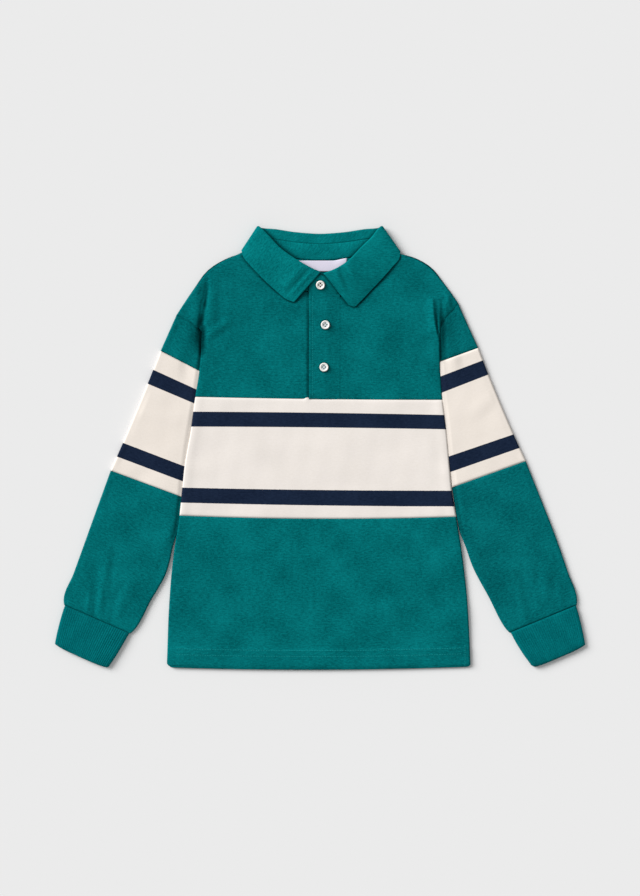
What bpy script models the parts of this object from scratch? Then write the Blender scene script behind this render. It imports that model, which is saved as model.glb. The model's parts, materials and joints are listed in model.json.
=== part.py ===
"""A child's long-sleeved polo shirt, fastened and laid flat with its sleeves out to the sides.

Frame: +X to the wearer's left, +Y from hem to collar, +Z up out of the surface that the shirt
lies on, origin under the middle of its box. Tables and sizes are in millimetres; MM turns them
into metres where a mesh is made. "Right" and "left" are the wearer's, so right is at -X.

Every cloth piece is an open surface worked out from short tables of its own edges, given the
thickness of the jersey by a Solidify modifier. The rib cuffs have an inner and an outer wall,
because their ribs stand on the outer one alone.
"""
from collections import namedtuple

import bmesh
import bpy
import numpy as np
from mathutils import Matrix

MM = 0.001
ORIGIN = np.array([0.1, -0.41, 0.0])     # the tables' place for the middle of the shirt's box

# ---------------------------------------------------------------- driving dimensions
CLOTH = 1.2                 # jersey
COLLAR_CLOTH = 1.0
RIB_CLOTH = 1.8             # doubled rib of the cuffs
SEAM_GAP = 0.3              # between pieces at a seam
TUCK_GAP = 0.5              # between a sleeve and the side of the body it lies against
TIP_CLEARANCE = 0.8         # extra at the shoulder tip, where the sleeve is cut at a slant
LAID_HEIGHT = 4.0           # front over back, lying flat
CUFF_HEIGHT = 5.2
CUFF_SWELL = np.array([0.92, 1.0, 1.0, 0.84])   # its height at each section
CUFF_DRAWN_IN = 1.0         # how much narrower the cuff starts than the sleeve ends, each side
CUFF_BOW = 2.0              # how far the cuff's lower edge stands out past its two corners
EDGE_ROLL = 3.5             # how far in the front curves down at the sides
SHOULDER_ROLL = 3.0
BACK_SHOWS = 1.2            # how far the back stands out beyond the shoulder seam
BACK_SHOWS_TO = 0.84        # share of the shoulder at which the collar begins
BACK_TUCKS = 1.0            # how far it draws in from there on, inside the collar's bend
BACK_INSET = 1.8            # how far it lies inside the front's rolled sides
HEM_DEPTH = 22.0
HEM_STEP = 0.7              # the turned-up hem's extra thickness
HEM_CURVE_WIDTH = 5.0       # how far in the hem's edge curves down
HEM_CORNER_RIGHT = 4.5      # how far its two lower corners are rounded off
HEM_CORNER_LEFT = 2.6
PLACKET_RIGHT_EDGE = -12.4
PLACKET_LEFT_EDGE = 22.0
PLACKET_LAP = 2.5           # how far the over placket lies on each front
FALL_RADIUS = 1.8           # outside of the collar's fold
FALL_STAND = 5.5            # how far the fall turns down inside the neck, at the front
FALL_STAND_BEHIND = 9.5
STAND_SLOPE = 0.26          # rise of the stand's over end, on which the top button sits
NECK_LIFT = 1.6             # clearance of the stand at the neck points
STAND_CLEARANCE = 0.9       # of the stand's slanting lower edge from the neckline
RIBS = 29                   # across the upper side of a cuff
RIB_HEIGHT = 0.45
BUTTON_DIAMETER = 10.2
BUTTON_THICKNESS = 2.6
BUTTON_HOLE = 1.7
BUTTON_HOLE_CIRCLE = 3.4
BUTTON_SIDES = 16
STAND_SEAT = 0.5            # clearance of the top button, on the stand's slope
LABEL_RIGHT, LABEL_LEFT = -25.5, 29.5
LABEL_BOTTOM, LABEL_TOP = 189.0, 205.3
LABEL_THICKNESS = 1.0
LABEL_CURL = 2.4
LABEL_CURL_WIDTH, LABEL_CURL_DEPTH = 16.0, 12.0     # how much of its corner curls up

# ---------------------------------------------------------------- tables
Edge = namedtuple("Edge", "y x")
Point = namedtuple("Point", "x y")
Seam = namedtuple("Seam", "right middle left")
Section = namedtuple("Section", "outer_x outer_y inner_x inner_y")
Fold = namedtuple("Fold", "x0 y0 x1 y1 half_width height")
Station = namedtuple("Station", "turn fold_x fold_y fold_z edge_x edge_y edge_z bulge neck_x")
StandEnd = namedtuple("StandEnd", "x top_y slope")

# side seams from the underarm down to the hem
RIGHT_SIDE = (Edge(124.5, -131.3), Edge(110.6, -130.7), Edge(82.0, -133.2), Edge(56.7, -137.4),
              Edge(22.6, -141.6), Edge(-20.9, -149.2), Edge(-44.5, -151.5), Edge(-75.3, -154.6),
              Edge(-120.4, -161.4), Edge(-152.3, -164.5), Edge(-190.8, -166.8), Edge(-243.0, -168.4))
LEFT_SIDE = (Edge(129.3, 132.0), Edge(110.6, 131.8), Edge(93.6, 132.1), Edge(56.7, 134.3),
             Edge(21.2, 138.6), Edge(-20.0, 142.4), Edge(-44.5, 144.6), Edge(-75.3, 149.7),
             Edge(-113.8, 155.9), Edge(-167.7, 162.0), Edge(-213.9, 164.6), Edge(-243.0, 165.6))

# armhole seams from the underarm up to the shoulder tip
RIGHT_ARMHOLE = (Point(-131.3, 124.5), Point(-137.6, 132.8), Point(-142.7, 137.4),
                 Point(-151.0, 142.1), Point(-157.6, 145.8))
LEFT_ARMHOLE = (Point(132.0, 129.3), Point(134.8, 137.0), Point(141.1, 145.8),
                Point(146.6, 151.0), Point(152.0, 158.5))

# shoulders from the tip up to the neck point
RIGHT_SHOULDER = (Point(-157.6, 145.8), Point(-139.0, 172.8), Point(-124.0, 193.1),
                  Point(-107.0, 204.8), Point(-86.0, 214.2), Point(-74.0, 221.6))
LEFT_SHOULDER = (Point(152.0, 158.5), Point(135.2, 181.1), Point(121.7, 197.2),
                 Point(104.8, 207.4), Point(87.0, 213.4), Point(74.6, 221.0))

# necklines, from neck point to neck point
FRONT_NECKLINE = (Point(-74.0, 221.6), Point(-63.8, 199.0), Point(-40.0, 179.6), Point(-9.9, 170.8),
                  Point(4.8, 170.0), Point(19.8, 171.0), Point(42.0, 179.4), Point(63.8, 199.0),
                  Point(74.6, 221.0))
BACK_NECKLINE = (Point(-74.0, 221.6), Point(-42.0, 209.6), Point(0.0, 205.5), Point(42.0, 209.6),
                 Point(74.6, 221.0))

# seams across the body, by their height at the right side, the middle and the left side
CREAM_TOP = Seam(56.0, 53.2, 52.4)
CREAM_BOTTOM = Seam(-74.8, -78.2, -75.9)
HEM = Seam(-242.2, -244.2, -241.4)

# sleeves, a section across the flat tube at each row
RIGHT_SLEEVE_UPPER = (Section(-157.6, 145.8, -131.8, 124.5), Section(-166.4, 126.0, -131.8, 104.0),
                      Section(-175.2, 106.2, -134.0, 83.5))
RIGHT_SLEEVE_MIDDLE = (Section(-175.2, 106.2, -134.0, 83.5), Section(-189.5, 70.0, -139.6, 47.8),
                       Section(-216.7, 5.0, -150.2, -21.4), Section(-230.0, -25.2, -154.2, -54.2))
RIGHT_SLEEVE_LOWER = (Section(-230.0, -25.2, -154.2, -54.2), Section(-244.8, -66.0, -160.0, -98.0),
                      Section(-257.2, -100.6, -167.4, -133.4), Section(-270.6, -137.8, -186.6, -169.6),
                      Section(-281.8, -168.6, -205.0, -201.6), Section(-281.2, -172.8, -208.6, -204.4))
RIGHT_CUFF = (Section(-283.8, -184.0, -216.0, -215.4), Section(-290.4, -210.6, -229.6, -237.4),
              Section(-291.3, -215.6, -232.6, -241.8))
LEFT_SLEEVE_UPPER = (Section(152.0, 158.5, 132.6, 129.3), Section(162.6, 134.4, 132.6, 111.6),
                     Section(173.9, 109.5, 132.8, 93.6))
LEFT_SLEEVE_MIDDLE = (Section(173.9, 109.5, 132.8, 93.6), Section(185.1, 80.1, 135.8, 59.9),
                      Section(212.6, 14.5, 143.6, -10.0), Section(226.1, -14.8, 147.6, -43.8))
LEFT_SLEEVE_LOWER = (Section(226.1, -14.8, 147.6, -43.8), Section(243.4, -58.0, 155.4, -90.0),
                     Section(259.4, -99.0, 166.0, -126.4), Section(272.6, -137.0, 186.2, -165.6),
                     Section(282.6, -169.0, 205.4, -200.6), Section(282.2, -173.0, 208.4, -203.4))
LEFT_CUFF = (Section(284.6, -184.4, 215.4, -214.4), Section(290.6, -211.4, 230.0, -237.0),
             Section(291.5, -216.4, 233.0, -241.4))

# the largest folds, each along a line: ridges stand up, troughs (below 0) sink
FOLDS = (Fold(-126.0, 188.0, -130.2, 118.0, 4.5, -1.3),
         Fold(-135.0, 182.0, -139.0, 148.0, 5.5, 2.8),
         Fold(-116.0, 186.0, -120.5, 134.0, 6.0, 1.9),
         Fold(-121.0, 124.0, -102.0, 137.5, 4.5, 1.6),
         Fold(-126.5, 112.0, -118.0, 84.0, 6.0, 0.9),
         Fold(122.5, 160.0, 125.5, 130.0, 4.5, 2.4),
         Fold(131.5, 158.0, 130.5, 134.0, 3.5, -1.3),
         Fold(139.5, 166.0, 137.5, 150.0, 4.5, 1.9),
         Fold(120.0, 112.0, 100.0, 126.0, 6.0, 0.8),
         Fold(-143.0, 114.0, -147.0, 78.0, 6.0, -1.0),
         Fold(-247.0, -118.0, -247.0, -158.0, 7.0, -1.2),
         Fold(-233.0, -116.0, -238.0, -162.0, 6.5, 1.3),
         Fold(-206.0, -150.0, -222.0, -180.0, 6.0, 1.0),
         Fold(143.0, 118.0, 149.0, 84.0, 6.0, 1.1),
         Fold(251.0, -128.0, 246.0, -164.0, 6.5, 1.2),
         Fold(222.0, -140.0, 232.0, -176.0, 7.0, -1.0),
         Fold(-60.0, -108.0, 40.0, -118.0, 16.0, 0.6),
         Fold(-110.0, -190.0, -30.0, -168.0, 14.0, 0.5),
         Fold(60.0, -196.0, 120.0, -150.0, 15.0, 0.6),
         Fold(-70.0, 10.0, 60.0, -14.0, 18.0, 0.5))

# collar, from the right leaf's front edge round the back of the neck to the left leaf's. turn is
# 0 where the leaf lies on the chest and 180 where it lies under the back, fold is the middle of
# the rolled edge, edge the leaf's outer edge, and neck_x where the stand meets the neckline.
COLLAR = (Station(0, 1.2, 192.4, 10.0, -28.4, 159.6, 5.7, 0.8, 0.6),
          Station(0, -8.6, 196.6, 10.4, -36.0, 162.4, 5.7, 1.1, -11.0),
          Station(0, -25.3, 206.1, 10.8, -50.0, 173.4, 5.8, 1.5, -28.0),
          Station(0, -43.0, 218.6, 10.2, -64.6, 187.2, 6.8, 1.5, -45.0),
          Station(0, -56.0, 232.4, 8.9, -76.4, 199.8, 7.3, 1.0, -58.0),
          Station(0, -64.0, 240.6, 8.2, -84.4, 209.8, 7.3, 0.5, -68.0),
          Station(45, -66.0, 242.3, 7.4, -86.0, 215.2, 6.4, 0.2, -73.4),
          Station(90, -66.8, 242.9, 5.0, -86.4, 216.8, 3.4, 0.0, -74.0),
          Station(135, -66.0, 242.4, 2.8, -85.6, 216.4, 1.1, 0.0, -73.4),
          Station(180, -64.0, 241.4, 1.9, -82.8, 214.6, 0.0, 0.0, -69.0),
          Station(180, -50.0, 240.2, 1.9, -64.0, 203.4, 0.0, 0.0, -54.0),
          Station(180, -25.0, 236.6, 1.9, -31.0, 195.4, 0.0, 0.0, -27.0),
          Station(180, 0.0, 235.0, 1.9, 0.0, 193.0, 0.0, 0.0, 0.0),
          Station(180, 25.0, 236.6, 1.9, 31.0, 195.4, 0.0, 0.0, 27.0),
          Station(180, 50.0, 240.2, 1.9, 64.0, 203.4, 0.0, 0.0, 54.0),
          Station(180, 64.0, 241.4, 1.9, 83.6, 214.0, 0.0, 0.0, 69.5),
          Station(225, 66.0, 242.4, 2.8, 87.0, 215.8, 1.1, 0.0, 74.0),
          Station(270, 66.8, 242.9, 5.0, 88.0, 216.0, 3.4, 0.0, 74.6),
          Station(315, 66.0, 242.3, 7.4, 88.2, 214.2, 6.4, 0.2, 74.0),
          Station(360, 64.0, 240.6, 8.2, 87.4, 208.8, 7.3, 0.5, 68.0),
          Station(360, 57.0, 231.6, 9.2, 79.4, 198.2, 7.3, 1.0, 58.0),
          Station(360, 46.0, 220.6, 10.8, 69.2, 186.4, 6.8, 1.5, 46.0),
          Station(360, 28.0, 202.8, 11.6, 55.0, 171.4, 5.8, 1.5, 28.0),
          Station(360, 15.0, 195.2, 11.6, 44.0, 160.0, 5.8, 1.1, 16.0),
          Station(360, 8.0, 192.6, 11.6, 37.4, 154.6, 6.0, 0.9, 9.0),
          Station(360, 3.8, 190.8, 11.5, 31.4, 156.6, 6.2, 0.8, 4.4))

# the stand's ends past the fall, where it overlaps and buttons: at x it rises at its slope from the
# neckline to its upper edge at top_y
UNDER_END = (StandEnd(18.5, 180.0, 0.16), StandEnd(13.0, 183.2, 0.18), StandEnd(6.0, 184.8, 0.23))
OVER_END = (StandEnd(0.0, 185.0, 0.26), StandEnd(-6.0, 184.4, 0.26), StandEnd(-10.4, 181.6, 0.26),
            StandEnd(-12.4, 176.0, 0.26))

# lower edge of the collar fall under the back: its height in the middle, and at x to the sides
FallEdge = namedtuple("FallEdge", "middle side x")
FALL_UNDER = FallEdge(193.0, 215.0, 88.0)

# button centres, from the collar down
BUTTONS = (Point(0.5, 178.4), Point(5.9, 134.6), Point(4.4, 88.1))

# ---------------------------------------------------------------- curves and patches


def knot_slopes(knots, values):
    """Slope at each knot: a mean of the chords beside it that never lets the curve overshoot."""
    span = np.diff(knots).reshape((-1,) + (1,) * (values.ndim - 1))
    chord = np.diff(values, axis=0) / span
    before, after = span[:-1] + 2 * span[1:], 2 * span[:-1] + span[1:]
    same_way = chord[:-1] * chord[1:] > 0
    first = np.where(same_way, chord[:-1], 1.0)
    second = np.where(same_way, chord[1:], 1.0)
    mean = (before + after) / (before / first + after / second)
    return np.concatenate([chord[:1], np.where(same_way, mean, 0.0), chord[-1:]])


def through(knots, values, at):
    """Smooth curve through the listed values."""
    knots, values, at = (np.asarray(a, float) for a in (knots, values, at))
    slope = knot_slopes(knots, values)
    i = np.clip(np.searchsorted(knots, at, side="right") - 1, 0, len(knots) - 2)
    span = knots[i + 1] - knots[i]
    t = (at - knots[i]) / span
    if values.ndim > 1:
        t, span = t[..., None], span[..., None]
    level = values[i] * (1 - t) ** 2 * (1 + 2 * t) + values[i + 1] * t ** 2 * (3 - 2 * t)
    return level + span * t * (1 - t) * (slope[i] * (1 - t) - slope[i + 1] * t)


def lengths(points):
    """How far along the line through the points each of them lies."""
    steps = np.linalg.norm(np.diff(points, axis=0), axis=1)
    return np.concatenate([[0.0], np.cumsum(steps)])


def along(points, fractions):
    """Points at the given fractions of a smooth curve through the listed ones."""
    points = np.asarray(points, float)
    knots = lengths(points)
    dense = through(knots, points, np.linspace(0, knots[-1], 12 * len(points)))
    place = lengths(dense)
    return np.stack([np.interp(np.asarray(fractions) * place[-1], place, dense[:, k])
                     for k in range(dense.shape[1])], axis=-1)


def joined(first, second, corner, fractions):
    """Points on two curves that meet at a corner, which is the given fraction along."""
    fractions = np.asarray(fractions)
    on_first = along(first, np.clip(fractions / corner, 0, 1))
    on_second = along(second, np.clip((fractions - corner) / (1 - corner), 0, 1))
    return np.where((fractions <= corner)[..., None], on_first, on_second)


def patch(bottom, top, left, right, across, upward):
    """Grid of points inside four edges, which are functions of the share along them.

    It is the sum of the two surfaces ruled between opposite edges, less the one ruled
    between the corners. across and upward are the shares of every point of the grid.
    """
    u, v = across[..., None], upward[..., None]
    ruled = (1 - v) * bottom(across) + v * top(across) + (1 - u) * left(upward) + u * right(upward)
    start, end = bottom(np.array([0.0, 1.0]))
    first, last = top(np.array([0.0, 1.0]))
    low = (1 - u) * start + u * end
    high = (1 - u) * first + u * last
    return ruled - (1 - v) * low - v * high


def smooth_step(value, start, end):
    """0 before start, 1 after end, and an S between them."""
    t = np.clip((value - start) / (end - start), 0, 1)
    return t * t * (3 - 2 * t)


def side_x(edges, y):
    """Where a side seam is at height y."""
    rising = sorted(edges)
    return through([e.y for e in rising], [e.x for e in rising], y)


def side_line(edges, low_y, high_y, inset=0.0):
    """The side seam between two heights, as points."""
    y = np.linspace(low_y, high_y, 14)
    return np.stack([side_x(edges, y) + inset, y], axis=1)


def seam_y(seam, x):
    """Height of a seam across the body: a parabola through its three heights."""
    t = np.asarray(x) / SEAM_HALF_WIDTH
    bow = (seam.right + seam.left) / 2 - seam.middle
    return seam.middle + (seam.left - seam.right) / 2 * t + bow * t * t


def neckline_y(neckline, x):
    return through([p.x for p in neckline], [p.y for p in neckline], x)


# ---------------------------------------------------------------- heights of the laid cloth

# the back's lift over the collar fall, by the distance below the fall's lower edge
RISE_STARTS_BELOW, RISE_ENDS_BELOW = 22.0, 4.0


def neck_rise(x, y):
    """How far the back, and all on it, is lifted by the collar fall that lies under it."""
    fall_edge = FALL_UNDER.middle + (FALL_UNDER.side - FALL_UNDER.middle) * (x / FALL_UNDER.x) ** 2
    lifted = smooth_step(y, fall_edge - RISE_STARTS_BELOW, fall_edge - RISE_ENDS_BELOW)
    return (CLOTH + SEAM_GAP) * lifted


def fold_height(x, y):
    """Sum of the folds: each is a smooth swell round its own line."""
    total = np.zeros(np.broadcast(x, y).shape)
    for fold in FOLDS:
        run = np.array([fold.x1 - fold.x0, fold.y1 - fold.y0])
        t = ((x - fold.x0) * run[0] + (y - fold.y0) * run[1]) / (run @ run)
        t = np.clip(t, 0, 1)
        off = np.hypot(x - fold.x0 - t * run[0], y - fold.y0 - t * run[1])
        total += fold.height * np.cos(np.pi / 2 * np.clip(off / (1.8 * fold.half_width), 0, 1)) ** 2
    return total


def back_height(x, y):
    return CLOTH + neck_rise(x, y)


def front_height(x, y):
    """Upper face of the front: never nearer than a gap to the back that it lies on."""
    lowest = back_height(x, y) + SEAM_GAP + CLOTH
    return np.maximum(LAID_HEIGHT + neck_rise(x, y) + fold_height(x, y), lowest)


# ---------------------------------------------------------------- meshes and materials


def srgb(red, green, blue):
    """A colour as a screen shows it (0 to 255), turned into linear light."""
    share = np.array([red, green, blue]) / 255
    linear = np.where(share <= 0.04045, share / 12.92, ((share + 0.055) / 1.055) ** 2.4)
    return (*linear, 1.0)


def material(name, colour, roughness):
    made = bpy.data.materials.new(name)
    made.use_nodes = True
    shader = made.node_tree.nodes["Principled BSDF"]
    shader.inputs["Base Color"].default_value = colour
    shader.inputs["Roughness"].default_value = roughness
    shader.inputs["Metallic"].default_value = 0.0
    made.diffuse_color = colour
    return made


def add_object(name, mesh, finish, group):
    made = bpy.data.objects.new(name, mesh)
    made.data.materials.append(finish)
    group.objects.link(made)
    return made


def grid_faces(rows, columns, closed=False, flip=False, first=0):
    """Quads of a grid of points numbered row by row from first."""
    r, c = np.meshgrid(np.arange(rows - 1), np.arange(columns if closed else columns - 1),
                       indexing="ij")
    beside = (c + 1) % columns
    corners = [r * columns + c, r * columns + beside, (r + 1) * columns + beside,
               (r + 1) * columns + c]
    faces = np.stack([k.ravel() for k in corners], axis=1) + first
    return faces[:, ::-1] if flip else faces


def cloth(name, points, finish, group, closed=False, flip=False, thickness=CLOTH):
    """A piece of cloth: the open surface of its outer face, made thick inwards."""
    rows, columns = points.shape[:2]
    mesh = bpy.data.meshes.new(name)
    faces = grid_faces(rows, columns, closed, flip)
    mesh.from_pydata(((points.reshape(-1, 3) - ORIGIN) * MM).tolist(), [], faces.tolist())
    mesh.shade_smooth()
    made = add_object(name, mesh, finish, group)
    wall = made.modifiers.new("Wall", "SOLIDIFY")
    wall.thickness = thickness * MM
    wall.offset = -1
    wall.use_even_offset = True
    wall.use_rim = True
    return made


# ---------------------------------------------------------------- body panels

# a rolled edge: how far in each of its lines lies, as a share of the roll's width
ROLL_IN = np.array([0.0, 0.03, 0.2, 0.56, 1.0])
ROLL_FULLNESS = 2.6
HEM_LINES = np.array([0.0, 0.3, 0.65, 1.0])     # likewise for the hem's gentler curve
EDGE_FOOT = 0.12            # the outer face's lowest point, so that the inner one meets the surface
# shares of an upper front's edges: the neck point along its top, the underarm up its side, and how
# far below the underarm its side stops rolling down
NECK_CORNER = 0.56
UNDERARM = 0.64
ROLL_ENDS_BELOW = 0.12
NECK_FADE_FROM, NECK_FADE_TO = 0.35, 0.54   # the shoulder's roll fades out between these shares
FOLDS_TO = 34.0             # the folds at the armhole lie within this distance of the side
BACK_NECK_CORNER = 0.27     # the neck point along the top of the back
# lines of the back along its shoulder, as shares of it, and at its hem's corners, in roundings
ON_SHOULDER = np.array([0.0, 0.22, 0.44, 0.64, BACK_SHOWS_TO, 0.92, 1.0])
AT_CORNER = np.array([0.0, 0.4, 0.9, 1.6])
SEAM_HALF_WIDTH = 150.0     # where the seams' heights at the right and the left are listed


def roll_height(share):
    """Height of a rolled edge, as a share, at a share of its width: a full quarter oval."""
    return (1 - (1 - np.clip(share, 0, 1)) ** ROLL_FULLNESS) ** (1 / ROLL_FULLNESS)


def roll_start(edge_height):
    """The share of its width at which a rolled edge has the given height."""
    return 1 - (1 - edge_height ** ROLL_FULLNESS) ** (1 / ROLL_FULLNESS)


def lowered(z, floor, inside, edge_height):
    """Height z curved down to floor at an edge; a roll that starts higher up is cut off there."""
    return floor + (z - floor) * roll_height(inside + roll_start(edge_height))


def upper_front(name, side, armhole, shoulder, placket_x, finish, group):
    """One green front: side and armhole seams, shoulder, half the neckline and placket."""
    sign = -1 if armhole[0].x < 0 else 1
    width, height = abs(side[0].x - placket_x), shoulder[-1].y - CREAM_TOP.middle
    rolls = len(ROLL_IN)
    in_roll = EDGE_ROLL / width * ROLL_IN
    evenly = np.linspace(0, EDGE_ROLL * 3 / width, rolls)
    inner = np.concatenate([np.linspace(evenly[-1], FOLDS_TO / width, 6)[1:],
                            np.linspace(FOLDS_TO / width, NECK_CORNER, 6)[1:],
                            np.linspace(NECK_CORNER, 1, 9)[1:]])
    roll_ends = UNDERARM - ROLL_ENDS_BELOW
    below_roll = 1 - SHOULDER_ROLL * 3 / height
    upward = np.concatenate([np.linspace(0, roll_ends, 5),
                             np.linspace(roll_ends, UNDERARM, 5)[1:],
                             np.linspace(UNDERARM, below_roll, 7)[1:]])
    in_shoulder = 1 - SHOULDER_ROLL / height * ROLL_IN[::-1]
    to_neck = np.linspace(below_roll, 1, rolls + 1)[1:]
    rows, columns = len(upward) + rolls, rolls + len(inner)

    edge_height = smooth_step(upward, roll_ends, UNDERARM)
    edge_height = np.concatenate([edge_height, np.ones(rolls)])[:, None]
    across = np.empty((rows, columns))
    across[:, :rolls] = in_roll + (evenly - in_roll) * edge_height
    across[:, rolls:] = inner
    at_neck = smooth_step(across[-1], NECK_FADE_FROM, NECK_FADE_TO)
    heights = np.empty((rows, columns))
    heights[:-rolls] = upward[:, None]
    heights[-rolls:] = in_shoulder[:, None] + (to_neck - in_shoulder)[:, None] * at_neck

    edge_x = np.linspace(shoulder[-1].x, placket_x, 40)
    neckline = np.stack([edge_x, neckline_y(FRONT_NECKLINE, edge_x)], axis=1)
    start_x = side_x(side, CREAM_TOP.middle)
    seam_x = np.linspace(start_x, placket_x, 30)
    seam = np.stack([seam_x, seam_y(CREAM_TOP, seam_x) + SEAM_GAP / 2], axis=1)
    plan = patch(lambda share: along(seam, share),
                 lambda share: joined(shoulder, neckline, NECK_CORNER, share),
                 lambda share: joined(side_line(side, seam[0, 1], armhole[0].y), armhole,
                                      UNDERARM, share),
                 lambda share: seam[-1] + share[..., None] * (neckline[-1] - seam[-1]),
                 across, heights)
    x, y = plan[..., 0], plan[..., 1]
    z = front_height(x, y)
    z = lowered(z, EDGE_FOOT, across * width / EDGE_ROLL, edge_height)
    from_shoulder = (1 - heights) * height / SHOULDER_ROLL
    on_back = back_height(x, y + SHOULDER_ROLL) + 3 * SEAM_GAP
    z = np.where(edge_height < 1, z, lowered(z, on_back, from_shoulder, at_neck[None, :]))
    points = np.stack([x, y, z], axis=2)
    return cloth(name, points if sign < 0 else points[:, ::-1], finish, group)


def block_patch(low_seam, high_seam, across, upward, inset=0.0):
    """Plan of a block of the body between two seams across it and the two side seams."""
    lines = []
    for seam, gap in ((low_seam, SEAM_GAP / 2), (high_seam, -SEAM_GAP / 2)):
        ends = side_x(RIGHT_SIDE, seam.right) + inset, side_x(LEFT_SIDE, seam.left) - inset
        x = np.linspace(*ends, 60)
        lines.append(np.stack([x, seam_y(seam, x) + gap], axis=1))
    low, high = lines
    sides = []
    for edges, end, pull in ((RIGHT_SIDE, 0, inset), (LEFT_SIDE, -1, -inset)):
        line = side_line(edges, low[end, 1], high[end, 1], pull)
        line[0], line[-1] = low[end], high[end]
        sides.append(line)
    across, upward = np.broadcast_arrays(across[None, :], upward[:, None])
    return patch(lambda share: along(low, share), lambda share: along(high, share),
                 lambda share: along(sides[0], share), lambda share: along(sides[1], share),
                 across, upward)


def corner_rise(across, width, inset, from_hem):
    """How far a point near either corner of the hem is moved up, so that the corner is round."""
    corner = np.where(across < 0.5, HEM_CORNER_RIGHT, HEM_CORNER_LEFT)[None, :]
    from_side = np.minimum(across, 1 - across)[None, :] * width + inset
    along_hem = np.clip(1 - from_side / (1.5 * corner), 0, 1) ** 2
    return corner * along_hem * (1 - smooth_step(from_hem[:, None], 0.0, 4 * corner))


def front_block(name, low_seam, high_seam, rows, finish, group, hem=False):
    """A front block from side to side between two seams, its edges rolled down to the surface."""
    width = 2 * side_x(LEFT_SIDE, low_seam.left)
    in_roll = EDGE_ROLL / width * ROLL_IN
    across = np.concatenate([in_roll[:-1], np.linspace(in_roll[-1], 1 - in_roll[-1], 17),
                             1 - in_roll[:-1][::-1]])
    upward = np.linspace(0, 1, rows)
    depth = high_seam.middle - low_seam.middle
    if hem:
        step = HEM_DEPTH / depth
        upward = np.concatenate([HEM_CURVE_WIDTH / depth * HEM_LINES, [step, step + 0.008],
                                 np.linspace(step + 0.008, 1, rows)[1:]])
    plan = block_patch(low_seam, high_seam, across, upward)
    if hem:
        plan[..., 1] += corner_rise(across, width, 0.0, upward * depth)
    x, y = plan[..., 0], plan[..., 1]
    z = front_height(x, y)
    if hem:
        z = z + HEM_STEP * (upward <= step + 1e-9)[:, None]
        curve = np.sin(np.pi / 2 * np.clip(upward * depth / HEM_CURVE_WIDTH, 0, 1))[:, None]
        lowest = 2 * CLOTH + 2 * SEAM_GAP
        z = lowest + (z - lowest) * curve
    inside = np.minimum(across, 1 - across) * width / EDGE_ROLL
    z = lowered(z, EDGE_FOOT, inside[None, :], 0.0)
    return cloth(name, np.stack([x, y, z], axis=2), finish, group)


def back_block(name, low_seam, high_seam, rows, finish, group, hem=False):
    """A back block, flat, inside the front's rolled edges."""
    across, upward = np.linspace(0, 1, 9), np.linspace(0, 1, rows)
    if hem:
        width = 2 * side_x(LEFT_SIDE, low_seam.left)
        depth = high_seam.middle - low_seam.middle
        right, left = HEM_CORNER_RIGHT / width * AT_CORNER, HEM_CORNER_LEFT / width * AT_CORNER
        across = np.concatenate([right, across[1:-1], 1 - left[::-1]])
        corner = HEM_CORNER_RIGHT / depth
        upward = np.concatenate([[0.0, corner, 3 * corner], upward[1:]])
    plan = block_patch(low_seam, high_seam, across, upward, inset=BACK_INSET)
    if hem:
        plan[..., 1] += corner_rise(across, width, BACK_INSET, upward * depth)
    x, y = plan[..., 0], plan[..., 1]
    return cloth(name, np.stack([x, y, back_height(x, y)], axis=2), finish, group)


def upper_back(name, finish, group):
    """The green back: flat, lifted at the neck by the collar fall under it."""
    neck = BACK_NECK_CORNER
    on_shoulder = neck * ON_SHOULDER
    across = np.concatenate([on_shoulder, np.linspace(neck, 1 - neck, 14)[1:-1],
                             1 - on_shoulder[::-1]])
    upward = np.concatenate([np.linspace(0, UNDERARM, 5), np.linspace(UNDERARM, 1, 9)[1:]])
    neck_x = np.linspace(BACK_NECKLINE[0].x, BACK_NECKLINE[-1].x, 40)
    neckline = np.stack([neck_x, neckline_y(BACK_NECKLINE, neck_x)], axis=1)

    def shoulder_line(shoulder):
        share = np.linspace(0, 1, 20)
        line = along(shoulder, share)
        to_collar = np.clip(share / BACK_SHOWS_TO, 0, 1)
        in_collar = np.clip((share - BACK_SHOWS_TO) / (1 - BACK_SHOWS_TO), 0, 1)
        line[:, 1] += BACK_SHOWS * np.sin(np.pi * to_collar) ** 0.5
        line[:, 1] -= BACK_TUCKS * np.sin(np.pi * in_collar) ** 0.5
        return line

    def top(share):
        first = joined(shoulder_line(RIGHT_SHOULDER), neckline, neck / (1 - neck),
                       np.clip(share / (1 - neck), 0, 1))
        last = along(shoulder_line(LEFT_SHOULDER)[::-1], np.clip((share - 1 + neck) / neck, 0, 1))
        return np.where((share <= 1 - neck)[..., None], first, last)

    def side(edges, armhole, pull):
        def line(share):
            low_y = CREAM_TOP.right if pull > 0 else CREAM_TOP.left
            points = joined(side_line(edges, low_y, armhole[0].y), armhole, UNDERARM, share)
            points[..., 0] += pull * (1 - smooth_step(share, UNDERARM + 0.01, UNDERARM + 0.1))
            return points
        return line

    right = side(RIGHT_SIDE, RIGHT_ARMHOLE, BACK_INSET)
    left = side(LEFT_SIDE, LEFT_ARMHOLE, -BACK_INSET)
    seam_x = np.linspace(right(np.zeros(1))[0, 0], left(np.zeros(1))[0, 0], 40)
    seam = np.stack([seam_x, seam_y(CREAM_TOP, seam_x) + SEAM_GAP / 2], axis=1)
    across, upward = np.broadcast_arrays(across[None, :], upward[:, None])
    plan = patch(lambda share: along(seam, share), top, right, left, across, upward)
    plan[0, :, 1] = seam_y(CREAM_TOP, plan[0, :, 0]) + SEAM_GAP / 2
    x, y = plan[..., 0], plan[..., 1]
    return cloth(name, np.stack([x, y, back_height(x, y)], axis=2), finish, group)


# ---------------------------------------------------------------- sleeves and cuffs

ARC = np.radians([0, 32, 62])   # a flat tube's edge, from its middle to its upper face
LEAST_SINE = 0.4                # of the angle at which a slanting section meets its edge


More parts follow.
